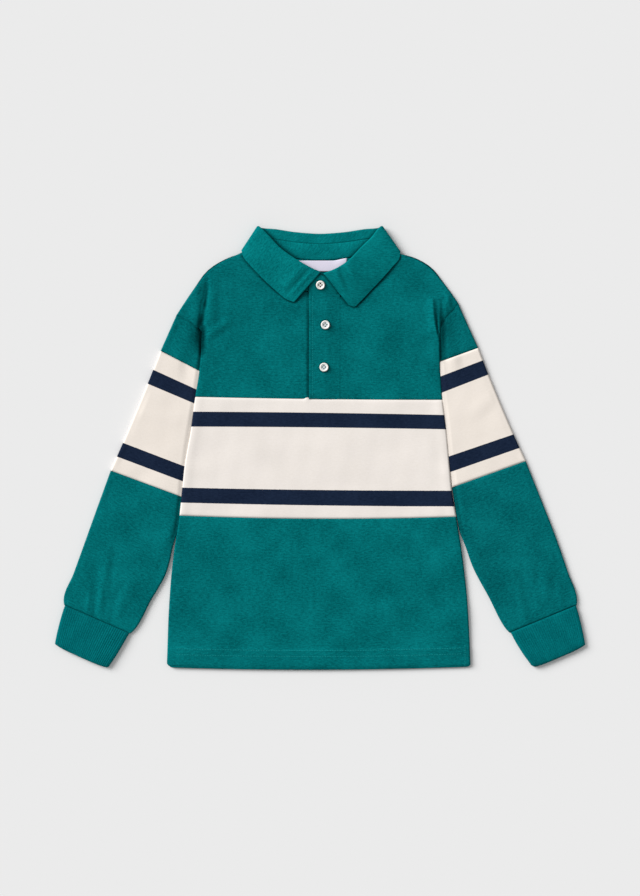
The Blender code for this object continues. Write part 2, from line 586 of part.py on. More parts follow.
def ring_profile(length, height, wall, top_points, bottom_points, stretch=(1.0, 1.0)):
    """Section of a flat tube, so far inside its outer face: distance across, and height.

    stretch makes the rounding of the outer and the inner edge wider across.
    """
    middle, radius = height / 2, height / 2 - wall
    start, end = middle * stretch[0], length - middle * stretch[1]
    near, far = radius * stretch[0], radius * stretch[1]
    top = np.linspace(start, end, top_points)
    bottom = np.linspace(end, start, bottom_points)
    down = np.concatenate([ARC[::-1], -ARC[1:]])
    again = -ARC[:0:-1]
    across = np.concatenate([start - near * np.cos(ARC), top, end + far * np.cos(down), bottom,
                             start - near * np.cos(again)])
    up = np.concatenate([middle + radius * np.sin(ARC), np.full(top_points, middle + radius),
                         middle + radius * np.sin(down), np.full(bottom_points, middle - radius),
                         middle + radius * np.sin(again)])
    return across, up


def section_rows(sections, rows):
    """Sections evenly along a tube, ending half a seam's gap inside the listed ones."""
    listed = np.array(sections, float)
    knots = lengths((listed[:, :2] + listed[:, 2:]) / 2)
    return through(knots, listed, np.linspace(SEAM_GAP, knots[-1] - SEAM_GAP / 2, rows))


def slanting(listed):
    """For each section, how much wider its slant across either edge makes that edge's rounding."""
    section = listed[:, 2:] - listed[:, :2]
    section /= np.linalg.norm(section, axis=1)[:, None]
    widths = []
    for edge in (listed[:, :2], listed[:, 2:]):
        run = np.gradient(edge, axis=0)
        run /= np.linalg.norm(run, axis=1)[:, None]
        sine = np.abs(section[:, 0] * run[:, 1] - section[:, 1] * run[:, 0])
        widths.append(1 / np.maximum(sine, LEAST_SINE))
    return np.stack(widths, axis=1)


def sleeve(name, sections, rows, side, finish, group, armhole=None):
    """A stretch of sleeve: a flat tube that lies just clear of the side of the body."""
    sign = np.sign(sections[0].outer_x)
    listed = section_rows(sections, rows)
    limit = side_x(side, np.clip(listed[:, 3], min(side).y, max(side).y)) + sign * TUCK_GAP
    listed[:, 2] = sign * np.maximum(sign * listed[:, 2], sign * limit)
    lowest = 2 * CLOTH + 2 * SEAM_GAP
    grid = []
    for k, (section, stretch) in enumerate(zip(listed, slanting(listed), strict=True)):
        outer, inner = section[:2], section[2:]
        length = np.hypot(*(inner - outer))
        across, up = ring_profile(length, LAID_HEIGHT, 0.0, 9, 3, stretch)
        share = (across / length)[:, None]
        plan = (1 - share) * outer + share * inner
        if armhole:
            straight = (1 - share) * np.array(armhole[-1]) + share * np.array(armhole[0])
            bow = along(armhole[::-1], share[:, 0]) - straight
            plan = plan + bow * (1 - k / (rows - 1)) ** 2
        if armhole and k == 0:
            away = np.array([inner[1] - outer[1], outer[0] - inner[0]]) / length * -sign
            plan = plan + away * TIP_CLEARANCE * (1 - share) ** 4
        x, y = plan[:, 0], plan[:, 1]
        inside = np.minimum(across, length - across)
        swell = fold_height(x, y) * smooth_step(inside, LAID_HEIGHT / 2, LAID_HEIGHT / 2 + 6.0)
        up = np.where(up > LAID_HEIGHT - 1e-6, np.maximum(up + swell, lowest), up)
        grid.append(np.stack([x, y, up], axis=1))
    return cloth(name, np.array(grid), finish, group, closed=True, flip=sign < 0)


def cuff(name, sleeve_end, sections, finish, group):
    """A doubled rib cuff: ribs stand on its outer wall, over a plain inside."""
    end = np.array(sleeve_end)
    across = (end[2:] - end[:2]) / np.hypot(*(end[2:] - end[:2]))
    onwards = np.array([across[1], -across[0]]) * np.sign(across[0])
    start = np.concatenate([end[:2] + CUFF_DRAWN_IN * across, end[2:] - CUFF_DRAWN_IN * across])
    start += np.tile(onwards, 2) * SEAM_GAP / 2
    listed = np.concatenate([[start], np.array(sections, float)])
    heights = CUFF_HEIGHT * CUFF_SWELL
    top_points, bottom_points = 2 * RIBS + 1, 5
    walls = []
    for wall in (0.0, RIB_CLOTH):
        grid = []
        share_down = np.linspace(0, 1, len(listed))
        for section, height, down in zip(listed, heights, share_down, strict=True):
            outer_x, outer_y, inner_x, inner_y = section
            length = np.hypot(inner_x - outer_x, inner_y - outer_y)
            place, up = ring_profile(length, height, wall, top_points, bottom_points)
            if wall == 0.0:
                crest = np.zeros(len(up))
                crest[len(ARC) + 1:len(ARC) + top_points:2] = RIB_HEIGHT
                up = up + crest
            share = (place / length)[:, None]
            plan = (1 - share) * [outer_x, outer_y] + share * [inner_x, inner_y]
            plan = plan + onwards * CUFF_BOW * down ** 2 * (1 - (2 * share - 1) ** 4)
            grid.append(np.concatenate([plan, up[:, None]], axis=1))
        walls.append(np.array(grid))
    return walled_ring(name, walls[0], walls[1], finish, group)


def walled_ring(name, outer, inner, finish, group):
    """A ring with an outer and an inner wall of its own, joined at both ends."""
    rows, columns = outer.shape[:2]
    count = rows * columns
    near = np.arange(columns)
    beside = (near + 1) % columns
    last = (rows - 1) * columns
    ends = [np.stack([near, near + count, beside + count, beside], axis=1),
            np.stack([near, beside, beside + count, near + count], axis=1) + last]
    faces = np.concatenate([grid_faces(rows, columns, closed=True),
                            grid_faces(rows, columns, closed=True, flip=True, first=count), *ends])
    points = (np.concatenate([outer.reshape(-1, 3), inner.reshape(-1, 3)]) - ORIGIN) * MM
    mesh = bpy.data.meshes.new(name)
    mesh.from_pydata(points.tolist(), [], faces.tolist())
    shape = bmesh.new()
    shape.from_mesh(mesh)
    bmesh.ops.recalc_face_normals(shape, faces=shape.faces)
    shape.to_mesh(mesh)
    shape.free()
    return add_object(name, mesh, finish, group)


# ---------------------------------------------------------------- collar

FOLD_ARC = np.radians([-90, -60, -30, 0, 30, 60, 90])
LEAF_SHARES = np.array([0.2, 0.45, 0.72, 1.0])
STAND_SHARES = np.array([0.0, 0.3, 0.65, 1.0])
ROW_SPACING = 8.0               # stations further apart than this get a row between them
# the left end of the collar lies on the placket as well: it comes up to it between these
LAP_FULL_TO, LAP_STARTS_AT = 22.0, 38.0


def neck_seam(x, front_share):
    """Where the stand meets the neckline, on its face towards the neck."""
    x = np.clip(x, FRONT_NECKLINE[0].x, FRONT_NECKLINE[-1].x)
    front_y = neckline_y(FRONT_NECKLINE, x) + STAND_CLEARANCE
    back_y = neckline_y(BACK_NECKLINE, x) + STAND_CLEARANCE / 2
    y = front_share * front_y + (1 - front_share) * back_y
    z = front_share * (front_height(x, y) - CLOTH) + (1 - front_share) * back_height(x, y)
    return y + NECK_LIFT * 4 * front_share * (1 - front_share), z


def collar_rows():
    """For each row round the neck: the rolled edge's arc, the leaf's points, the neck seam, and
    the way down from the arc to the fall's inner edge."""
    listed = np.array(COLLAR, float)
    points = listed[:, 1:7]
    knots = (lengths(points[:, :3]) + lengths(points[:, 3:])) / 2
    wide = np.flatnonzero(np.diff(knots) > ROW_SPACING)
    halves = np.sort(np.concatenate([knots, (knots[wide] + knots[wide + 1]) / 2]))
    rows = []
    for row in through(knots, listed, halves):
        turn, fold, edge, bulge, neck_x = np.radians(row[0]), row[1:4], row[4:7], row[7], row[8]
        outward = (edge - fold) / np.linalg.norm(edge - fold)
        over = np.array([np.sin(turn) * outward[1], -np.sin(turn) * outward[0], np.cos(turn)])
        over -= (over @ outward) * outward
        over /= np.linalg.norm(over)
        centre = fold + FALL_RADIUS * outward
        arc = (centre - FALL_RADIUS * np.cos(FOLD_ARC)[:, None] * outward
               + FALL_RADIUS * np.sin(FOLD_ARC)[:, None] * over)
        share = LEAF_SHARES[:, None]
        leaf = (1 - share) * arc[-1] + share * edge + 4 * bulge * share * (1 - share) * over
        front_share = (1 + np.cos(turn)) / 2
        neck_y, neck_z = neck_seam(neck_x, front_share)
        if row[0] > 270:
            neck_z += (CLOTH + SEAM_GAP) * (1 - smooth_step(neck_x, LAP_FULL_TO, LAP_STARTS_AT))
        neck = np.array([neck_x, neck_y, neck_z])
        depth = front_share * FALL_STAND + (1 - front_share) * FALL_STAND_BEHIND
        down = (neck - arc[0]) / np.linalg.norm(neck - arc[0])
        rows.append((arc, leaf, neck, depth * down))
    return rows


def collar_fall(name, rows, finish, group):
    """The collar's outer face, from inside the neck over the rolled edge to the leaf's edge."""
    grid = []
    for arc, leaf, _, turned_down in rows:
        grid.append(np.concatenate([[arc[0] + turned_down, arc[0] + turned_down / 2], arc, leaf]))
    return cloth(name, np.array(grid), finish, group, flip=True, thickness=COLLAR_CLOTH)


def stand_end(end, lift):
    """Row of the stand past the fall: from its own upper edge to the neckline."""
    low_y, low_z = neck_seam(end.x, 1.0)
    top_z = low_z + end.slope * (end.top_y - low_y)
    return np.array([end.x, end.top_y, top_z + lift]), np.array([end.x, low_y, low_z + lift])


def collar_stand(name, rows, finish, group):
    """The neckband's face towards the neck, from its under end round to its over end."""
    pairs = [stand_end(end, 0.0) for end in UNDER_END]
    for arc, _, neck, turned_down in rows:
        gap = turned_down * SEAM_GAP / np.linalg.norm(turned_down)
        pairs.append((arc[0] + turned_down + gap, neck))
    pairs += [stand_end(end, CLOTH + SEAM_GAP) for end in OVER_END]
    share = STAND_SHARES[:, None]
    grid = [(1 - share) * top + share * low for top, low in pairs]
    return cloth(name, np.array(grid), finish, group, thickness=COLLAR_CLOTH)


# ---------------------------------------------------------------- placket, label and buttons


def placket(name, x_start, x_end, lift, rows, finish, group):
    """A strip from the cream seam to the neckline, moved out from the front it lies on."""
    x = np.linspace(x_start, x_end, 6)[None, :]
    low = seam_y(CREAM_TOP, x) + SEAM_GAP / 2
    high = neckline_y(FRONT_NECKLINE, x) - SEAM_GAP / 2
    y = low + np.linspace(0, 1, rows)[:, None] * (high - low)
    x = np.broadcast_to(x, y.shape)
    return cloth(name, np.stack([x, y, front_height(x, y) + lift], axis=2), finish, group)


def label(name, finish, group):
    """A blank woven label inside the back neck, one corner curling up."""
    x = np.linspace(LABEL_RIGHT, LABEL_LEFT, 8)[None, :]
    y = np.linspace(LABEL_BOTTOM, LABEL_TOP, 6)[:, None]
    x, y = np.broadcast_arrays(x, y)
    curl = (smooth_step(x, LABEL_LEFT - LABEL_CURL_WIDTH, LABEL_LEFT)
            * smooth_step(y, LABEL_TOP - LABEL_CURL_DEPTH, LABEL_TOP))
    z = back_height(x, y) + SEAM_GAP + LABEL_THICKNESS + LABEL_CURL * curl
    return cloth(name, np.stack([x, y + LABEL_CURL * curl, z], axis=2), finish, group,
                 thickness=LABEL_THICKNESS)


BUTTON_PROFILE = ((0.0, 0.6), (0.52, 0.6), (0.64, 0.88), (0.82, 1.0), (0.96, 0.84), (1.0, 0.55),
                  (0.92, 0.2), (0.7, 0.0), (0.0, 0.0))   # shares of its radius and thickness


def button(name, place, tilt, finish, group, cutters):
    """A turned button with a raised rim, cut by four holes."""
    mesh = bpy.data.meshes.new(name)
    profile = [(share_r * BUTTON_DIAMETER / 2 * MM, 0.0, share_z * BUTTON_THICKNESS * MM)
               for share_r, share_z in BUTTON_PROFILE]
    mesh.from_pydata(profile, [(k, k + 1) for k in range(len(profile) - 1)], [])
    made = add_object(name, mesh, finish, group)
    made.location = (place - ORIGIN) * MM
    made.rotation_euler = (tilt, 0.0, 0.0)
    turned = made.modifiers.new("Turned", "SCREW")
    turned.steps = turned.render_steps = BUTTON_SIDES
    turned.use_merge_vertices = True
    turned.merge_threshold = 0.00001
    turned.use_normal_calculate = True
    holes = bmesh.new()
    for quarter in range(4):
        turn = quarter * np.pi / 2
        move = Matrix.Translation((BUTTON_HOLE_CIRCLE / 2 * np.cos(turn) * MM,
                                   BUTTON_HOLE_CIRCLE / 2 * np.sin(turn) * MM, 0.0))
        bmesh.ops.create_cone(holes, cap_ends=True, segments=6, radius1=BUTTON_HOLE / 2 * MM,
                              radius2=BUTTON_HOLE / 2 * MM, depth=4 * BUTTON_THICKNESS * MM,
                              matrix=move)
    cutter_mesh = bpy.data.meshes.new(name + "_holes")
    holes.to_mesh(cutter_mesh)
    holes.free()
    cutter = bpy.data.objects.new(name + "_holes", cutter_mesh)
    cutter.matrix_basis = made.matrix_basis
    cutter.hide_render = True
    cutter.display_type = "WIRE"
    cutters.objects.link(cutter)
    cut = made.modifiers.new("Holes", "BOOLEAN")
    cut.operation = "DIFFERENCE"
    cut.object = cutter
    return made


# ---------------------------------------------------------------- the shirt


def main():
    for old in list(bpy.data.objects):
        bpy.data.objects.remove(old)
    shirt = bpy.data.collections.new("polo_shirt")
    cutters = bpy.data.collections.new("cutters")
    for group in (shirt, cutters):
        bpy.context.scene.collection.children.link(group)

    green = material("green_jersey", srgb(0, 110, 108), 0.85)
    collar = material("green_collar", srgb(0, 112, 110), 0.85)
    cream = material("striped_jersey", srgb(236, 229, 220), 0.85)
    rib = material("green_rib", srgb(0, 100, 102), 0.85)
    woven = material("label_cloth", srgb(232, 228, 238), 0.6)
    pearl = material("button_pearl", srgb(243, 239, 232), 0.3)

    upper_back("back_upper", green, shirt)
    back_block("back_middle", CREAM_BOTTOM, CREAM_TOP, 5, cream, shirt)
    back_block("back_lower", HEM, CREAM_BOTTOM, 6, green, shirt, hem=True)

    front_right = PLACKET_RIGHT_EDGE + PLACKET_LAP
    front_left = PLACKET_LEFT_EDGE - PLACKET_LAP
    upper_front("front_upper_right", RIGHT_SIDE, RIGHT_ARMHOLE, RIGHT_SHOULDER, front_right,
                green, shirt)
    upper_front("front_upper_left", LEFT_SIDE, LEFT_ARMHOLE, LEFT_SHOULDER, front_left,
                green, shirt)
    front_block("front_middle", CREAM_BOTTOM, CREAM_TOP, 8, cream, shirt)
    front_block("front_lower", HEM, CREAM_BOTTOM, 8, green, shirt, hem=True)

    for side, edges, armhole, upper, middle, lower, wrist in (
            ("right", RIGHT_SIDE, RIGHT_ARMHOLE, RIGHT_SLEEVE_UPPER, RIGHT_SLEEVE_MIDDLE,
             RIGHT_SLEEVE_LOWER, RIGHT_CUFF),
            ("left", LEFT_SIDE, LEFT_ARMHOLE, LEFT_SLEEVE_UPPER, LEFT_SLEEVE_MIDDLE,
             LEFT_SLEEVE_LOWER, LEFT_CUFF)):
        sleeve(f"sleeve_{side}_upper", upper, 6, edges, green, shirt, armhole)
        sleeve(f"sleeve_{side}_middle", middle, 6, edges, cream, shirt)
        sleeve(f"sleeve_{side}_lower", lower, 10, edges, green, shirt)
        cuff(f"cuff_{side}", lower[-1], wrist, rib, shirt)

    placket("placket_under", front_right + SEAM_GAP, front_left - SEAM_GAP, 0.0, 7, green, shirt)
    placket("placket_over", PLACKET_RIGHT_EDGE, PLACKET_LEFT_EDGE, CLOTH + SEAM_GAP, 9, green, shirt)
    rows = collar_rows()
    collar_stand("collar_stand", rows, collar, shirt)
    collar_fall("collar_fall", rows, collar, shirt)
    label("neck_label", woven, shirt)

    over = CLOTH + SEAM_GAP
    for number, centre in enumerate(BUTTONS, start=1):
        on_stand = centre.y > neckline_y(FRONT_NECKLINE, centre.x)
        if on_stand:
            low_y, low_z = neck_seam(centre.x, 1.0)
            seat = low_z + CLOTH + over + STAND_SLOPE * (centre.y - low_y) + STAND_SEAT
        else:
            seat = front_height(centre.x, centre.y) + over + SEAM_GAP
        tilt = np.arctan(STAND_SLOPE) if on_stand else 0.0
        button(f"button_{number}", np.array([centre.x, centre.y, float(seat)]), tilt, pearl, shirt,
               cutters)


main()
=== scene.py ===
# %% [markdown]
# # A child's long-sleeved polo shirt, laid flat
# The shirt lies on a pale table, fastened, with its sleeves out to the sides, and is seen from
# straight above. The CAD solids are the frame: each cloth piece below has the form of one of them,
# on a much finer grid and with the small creases that a solid can't carry. Then come the sewing,
# the buttons and the finishes.
#
# Tables are in millimetres, in the same place as the solids' tables; `ORIGIN` and `MM` turn them
# into the frame's metres. "Right" and "left" are the wearer's, so right is at -X.

# %% Frame and units
import json
from collections import namedtuple

import bmesh
import bpy
import numpy as np
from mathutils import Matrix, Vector

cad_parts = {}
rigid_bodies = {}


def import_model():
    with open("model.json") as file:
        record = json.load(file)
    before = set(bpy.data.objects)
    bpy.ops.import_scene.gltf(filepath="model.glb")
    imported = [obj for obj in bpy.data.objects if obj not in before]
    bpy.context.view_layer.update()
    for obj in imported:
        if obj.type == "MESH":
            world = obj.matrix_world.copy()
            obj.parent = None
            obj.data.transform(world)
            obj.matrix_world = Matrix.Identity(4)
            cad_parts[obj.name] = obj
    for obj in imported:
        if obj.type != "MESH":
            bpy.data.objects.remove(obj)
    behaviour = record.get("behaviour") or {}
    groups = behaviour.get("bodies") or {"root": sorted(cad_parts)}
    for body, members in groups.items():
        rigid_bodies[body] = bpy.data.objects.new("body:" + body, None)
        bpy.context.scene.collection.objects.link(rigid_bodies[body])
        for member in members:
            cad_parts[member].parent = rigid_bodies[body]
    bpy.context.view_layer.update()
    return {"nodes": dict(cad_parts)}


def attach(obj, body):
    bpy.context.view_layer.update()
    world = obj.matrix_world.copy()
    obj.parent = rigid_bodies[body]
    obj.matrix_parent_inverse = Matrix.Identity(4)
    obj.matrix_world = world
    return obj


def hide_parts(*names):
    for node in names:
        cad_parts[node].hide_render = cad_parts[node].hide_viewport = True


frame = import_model()
MM = 0.001
ORIGIN = np.array([0.1, -0.41, 0.0])
rng = np.random.default_rng(7)

# %% [markdown]
# ## The cut
# The shirt's outline as it lies: two sides, two armholes, two shoulders, the necklines, and the
# seams across. A cutter would draw the same lines on paper. The two navy stripes are knitted into
# the cream cloth, so they are lines on the cloth too, and not pieces.

# %% Lines of the body
CLOTH = 1.2                 # jersey
COLLAR_CLOTH = 1.0
RIB_CLOTH = 1.8             # doubled rib of the cuffs
SEAM_GAP = 0.3              # between pieces at a seam
TUCK_GAP = 0.5              # between a sleeve and the side of the body it lies against
LAID_HEIGHT = 4.0           # front over back, lying flat
CUFF_HEIGHT = 5.2
CUFF_SWELL = np.array([0.92, 1.0, 1.0, 0.84])   # its height at each section
CUFF_DRAWN_IN = 1.0         # how much narrower the cuff starts than the sleeve ends, each side
CUFF_BOW = 2.0              # how far the cuff's lower edge stands out past its two corners
CUFF_CORNER_RIGHT, CUFF_CORNER_LEFT = 1.3, 2.6      # rounding of its inner corner
EDGE_ROLL = 2.3             # how far in the front curves down at the sides
SHOULDER_ROLL = 3.0
BACK_SHOWS = 1.2            # how far the back stands out beyond the shoulder seam
BACK_SHOWS_TO = 0.84        # share of the shoulder at which the collar begins
BACK_TUCKS = 1.0            # how far it draws in from there on, inside the collar's bend
BACK_INSET = 1.8            # how far it lies inside the front's rolled sides
HEM_DEPTH = 22.0
HEM_STEP = 0.7              # the turned-up hem's extra thickness
HEM_CURVE_WIDTH = 5.0       # how far in the hem's edge curves down
HEM_CORNER_RIGHT = 4.5      # how far its two lower corners are rounded off
HEM_CORNER_LEFT = 2.6
PLACKET_RIGHT_EDGE = -12.4
PLACKET_LEFT_EDGE = 22.0
PLACKET_TOP = 182.0
PLACKET_LAP = 2.5           # how far the over placket lies on each front
FALL_RADIUS = 1.8           # outside of the collar's fold
FALL_STAND = 5.5            # how far the fall turns down inside the neck, at the front
FALL_STAND_BEHIND = 9.5
NECK_LIFT = 1.6             # clearance of the stand at the neck points
STAND_CLEARANCE = 0.9       # of the stand's slanting lower edge from the neckline
RIBS = 29                   # across the upper side of a cuff
RIB_HEIGHT = 0.45
LABEL_RIGHT, LABEL_LEFT = -25.5, 29.5
LABEL_TOP = 205.3
LABEL_THICKNESS = 1.0
LABEL_CURL = 2.4
LABEL_CURL_WIDTH, LABEL_CURL_DEPTH = 16.0, 12.0     # how much of its corner curls up
LABEL_SHOWN_BOTTOM = 193.5  # below this it is hidden, and left off

Edge = namedtuple("Edge", "y x")
Point = namedtuple("Point", "x y")
Seam = namedtuple("Seam", "right middle left")
Section = namedtuple("Section", "outer_x outer_y inner_x inner_y")
Fold = namedtuple("Fold", "x0 y0 x1 y1 half_width height")
Station = namedtuple("Station", "turn fold_x fold_y fold_z edge_x edge_y edge_z bulge neck_x")
StandEnd = namedtuple("StandEnd", "x top_y slope")

# side seams from the underarm down to the hem
RIGHT_SIDE = (
    Edge(124.5, -131.3), Edge(110.6, -130.7), Edge(82.0, -133.2), Edge(56.7, -137.4),
    Edge(22.6, -141.6), Edge(-20.9, -149.2), Edge(-44.5, -151.5), Edge(-75.3, -154.6),
    Edge(-120.4, -161.4), Edge(-152.3, -164.5), Edge(-190.8, -166.8), Edge(-243.0, -168.4))
LEFT_SIDE = (
    Edge(129.3, 132.0), Edge(110.6, 131.8), Edge(93.6, 132.1), Edge(56.7, 134.3),
    Edge(21.2, 138.6), Edge(-20.0, 142.4), Edge(-44.5, 144.6), Edge(-75.3, 149.7),
    Edge(-113.8, 155.9), Edge(-167.7, 162.0), Edge(-213.9, 164.6), Edge(-243.0, 165.6))

# armhole seams from the underarm up to the shoulder tip
RIGHT_ARMHOLE = (
    Point(-131.3, 124.5), Point(-137.6, 132.8), Point(-142.7, 137.4),
    Point(-151.0, 142.1), Point(-157.6, 145.8))
LEFT_ARMHOLE = (
    Point(132.0, 129.3), Point(134.8, 137.0), Point(141.1, 145.8),
    Point(146.6, 151.0), Point(152.0, 158.5))

# shoulders from the tip up to the neck point
RIGHT_SHOULDER = (
    Point(-157.6, 145.8), Point(-139.0, 172.8), Point(-124.0, 193.1),
    Point(-107.0, 204.8), Point(-86.0, 214.2), Point(-74.0, 221.6))
LEFT_SHOULDER = (
    Point(152.0, 158.5), Point(135.2, 181.1), Point(121.7, 197.2),
    Point(104.8, 207.4), Point(87.0, 213.4), Point(74.6, 221.0))

# necklines, from neck point to neck point
FRONT_NECKLINE = (
    Point(-74.0, 221.6), Point(-63.8, 199.0), Point(-40.0, 179.6), Point(-9.9, 170.8),
    Point(4.8, 170.0), Point(19.8, 171.0), Point(42.0, 179.4), Point(63.8, 199.0),
    Point(74.6, 221.0))
BACK_NECKLINE = (
    Point(-74.0, 221.6), Point(-42.0, 209.6), Point(0.0, 205.5), Point(42.0, 209.6),
    Point(74.6, 221.0))

# seams across the body, by their height at the right side, the middle and the left side
CREAM_TOP = Seam(56.0, 53.2, 52.4)
CREAM_BOTTOM = Seam(-74.8, -78.2, -75.9)
HEM = Seam(-242.2, -244.2, -241.4)

# the cream cloth's own navy lines, from the lower stripe's lower edge up
STRIPES = (
    Seam(-60.6, -63.6, -64.8), Seam(-44.0, -46.6, -47.3), Seam(23.0, 22.1, 19.8),
    Seam(39.4, 38.2, 35.4))

# %% Sleeves and cuffs: a section across the flat tube at each row
RIGHT_SLEEVE_UPPER = (
    Section(-157.6, 145.8, -131.8, 124.5), Section(-166.4, 126.0, -131.8, 104.0),
    Section(-175.2, 106.2, -134.0, 83.5))
RIGHT_SLEEVE_MIDDLE = (
    Section(-175.2, 106.2, -134.0, 83.5), Section(-189.5, 70.0, -139.6, 47.8),
    Section(-216.7, 5.0, -150.2, -21.4), Section(-230.0, -25.2, -154.2, -54.2))
RIGHT_SLEEVE_LOWER = (
    Section(-230.0, -25.2, -154.2, -54.2), Section(-244.8, -66.0, -160.0, -98.0),
    Section(-257.2, -100.6, -167.4, -133.4), Section(-270.6, -137.8, -186.6, -169.6),
    Section(-281.8, -168.6, -205.0, -201.6), Section(-281.2, -172.8, -208.6, -204.4))
RIGHT_CUFF = (
    Section(-283.8, -184.0, -216.0, -215.4), Section(-290.4, -210.6, -229.6, -237.4),
    Section(-291.3, -215.6, -232.6, -241.8))
LEFT_SLEEVE_UPPER = (
    Section(152.0, 158.5, 132.6, 129.3), Section(162.6, 134.4, 132.6, 111.6),
    Section(173.9, 109.5, 132.8, 93.6))
LEFT_SLEEVE_MIDDLE = (
    Section(173.9, 109.5, 132.8, 93.6), Section(185.1, 80.1, 135.8, 59.9),
    Section(212.6, 14.5, 143.6, -10.0), Section(226.1, -14.8, 147.6, -43.8))
LEFT_SLEEVE_LOWER = (
    Section(226.1, -14.8, 147.6, -43.8), Section(243.4, -58.0, 155.4, -90.0),
    Section(259.4, -99.0, 166.0, -126.4), Section(272.6, -137.0, 186.2, -165.6),
    Section(282.6, -169.0, 205.4, -200.6), Section(282.2, -173.0, 208.4, -203.4))
LEFT_CUFF = (
    Section(284.6, -184.4, 215.4, -214.4), Section(290.6, -211.4, 230.0, -237.0),
    Section(291.5, -216.4, 233.0, -241.4))

# %% Folds, collar, label and buttons
# the largest folds, each along a line: ridges stand up, troughs (below 0) sink
FOLDS = (
    Fold(-126.0, 188.0, -130.2, 118.0, 4.5, -1.3),
    Fold(-135.0, 182.0, -139.0, 148.0, 5.5, 2.8),
    Fold(-116.0, 186.0, -120.5, 134.0, 6.0, 1.9),
    Fold(-121.0, 124.0, -102.0, 137.5, 4.5, 1.6),
    Fold(-126.5, 112.0, -118.0, 84.0, 6.0, 0.9),
    Fold(122.5, 160.0, 125.5, 130.0, 4.5, 2.4),
    Fold(131.5, 158.0, 130.5, 134.0, 3.5, -1.3),
    Fold(139.5, 166.0, 137.5, 150.0, 4.5, 1.9),
    Fold(120.0, 112.0, 100.0, 126.0, 6.0, 0.8),
    Fold(-143.0, 114.0, -147.0, 78.0, 6.0, -1.0),
    Fold(-247.0, -118.0, -247.0, -158.0, 7.0, -1.2),
    Fold(-233.0, -116.0, -238.0, -162.0, 6.5, 1.3),
    Fold(-206.0, -150.0, -222.0, -180.0, 6.0, 1.0),
    Fold(143.0, 118.0, 149.0, 84.0, 6.0, 1.1),
    Fold(251.0, -128.0, 246.0, -164.0, 6.5, 1.2),
    Fold(222.0, -140.0, 232.0, -176.0, 7.0, -1.0),
    Fold(-60.0, -108.0, 40.0, -118.0, 16.0, 0.6),
    Fold(-110.0, -190.0, -30.0, -168.0, 14.0, 0.5),
    Fold(60.0, -196.0, 120.0, -150.0, 15.0, 0.6),
    Fold(-70.0, 10.0, 60.0, -14.0, 18.0, 0.5))

# collar, from the right leaf's front edge round the back of the neck to the left leaf's. turn is
# 0 where the leaf lies on the chest and 180 where it lies under the back, fold is the middle of
# the rolled edge, edge the leaf's outer edge, and neck_x where the stand meets the neckline.
COLLAR = (
    Station(0, 1.2, 192.4, 10.0, -28.4, 159.6, 5.7, 0.8, 0.6),
    Station(0, -8.6, 196.6, 10.4, -36.0, 162.4, 5.7, 1.1, -11.0),
    Station(0, -25.3, 206.1, 10.8, -50.0, 173.4, 5.8, 1.5, -28.0),
    Station(0, -43.0, 218.6, 10.2, -64.6, 187.2, 6.8, 1.5, -45.0),
    Station(0, -56.0, 232.4, 8.9, -76.4, 199.8, 7.3, 1.0, -58.0),
    Station(0, -64.0, 240.6, 8.2, -84.4, 209.8, 7.3, 0.5, -68.0),
    Station(45, -66.0, 242.3, 7.4, -86.0, 215.2, 6.4, 0.2, -73.4),
    Station(90, -66.8, 242.9, 5.0, -86.4, 216.8, 3.4, 0.0, -74.0),
    Station(135, -66.0, 242.4, 2.8, -85.6, 216.4, 1.1, 0.0, -73.4),
    Station(180, -64.0, 241.4, 1.9, -82.8, 214.6, 0.0, 0.0, -69.0),
    Station(180, -50.0, 240.2, 1.9, -64.0, 203.4, 0.0, 0.0, -54.0),
    Station(180, -25.0, 236.6, 1.9, -31.0, 195.4, 0.0, 0.0, -27.0),
    Station(180, 0.0, 235.0, 1.9, 0.0, 193.0, 0.0, 0.0, 0.0),
    Station(180, 25.0, 236.6, 1.9, 31.0, 195.4, 0.0, 0.0, 27.0),
    Station(180, 50.0, 240.2, 1.9, 64.0, 203.4, 0.0, 0.0, 54.0),
    Station(180, 64.0, 241.4, 1.9, 83.6, 214.0, 0.0, 0.0, 69.5),
    Station(225, 66.0, 242.4, 2.8, 87.0, 215.8, 1.1, 0.0, 74.0),
    Station(270, 66.8, 242.9, 5.0, 88.0, 216.0, 3.4, 0.0, 74.6),
    Station(315, 66.0, 242.3, 7.4, 88.2, 214.2, 6.4, 0.2, 74.0),
    Station(360, 64.0, 240.6, 8.2, 87.4, 208.8, 7.3, 0.5, 68.0),
    Station(360, 57.0, 231.6, 9.2, 79.4, 198.2, 7.3, 1.0, 58.0),
    Station(360, 46.0, 220.6, 10.8, 69.2, 186.4, 6.8, 1.5, 46.0),
    Station(360, 28.0, 202.8, 11.6, 55.0, 171.4, 5.8, 1.5, 28.0),
    Station(360, 15.0, 195.2, 11.6, 44.0, 160.0, 5.8, 1.1, 16.0),
    Station(360, 8.0, 192.6, 11.6, 37.4, 154.6, 6.0, 0.9, 9.0),
    Station(360, 3.8, 190.8, 11.5, 31.4, 156.6, 6.2, 0.8, 4.4))

# the stand's ends past the fall, where it overlaps and buttons: at x it rises at its slope from
# the neckline to its upper edge at top_y
UNDER_END = (StandEnd(18.5, 180.0, 0.16), StandEnd(13.0, 183.2, 0.18), StandEnd(6.0, 184.8, 0.23))
OVER_END = (
    StandEnd(0.0, 185.0, 0.26), StandEnd(-6.0, 184.4, 0.26), StandEnd(-10.4, 181.6, 0.26),
    StandEnd(-12.4, 176.0, 0.26))

# lower edge of the collar fall under the back: its height in the middle, and at x to the sides
FallEdge = namedtuple("FallEdge", "middle side x")
FALL_UNDER = FallEdge(193.0, 215.0, 88.0)

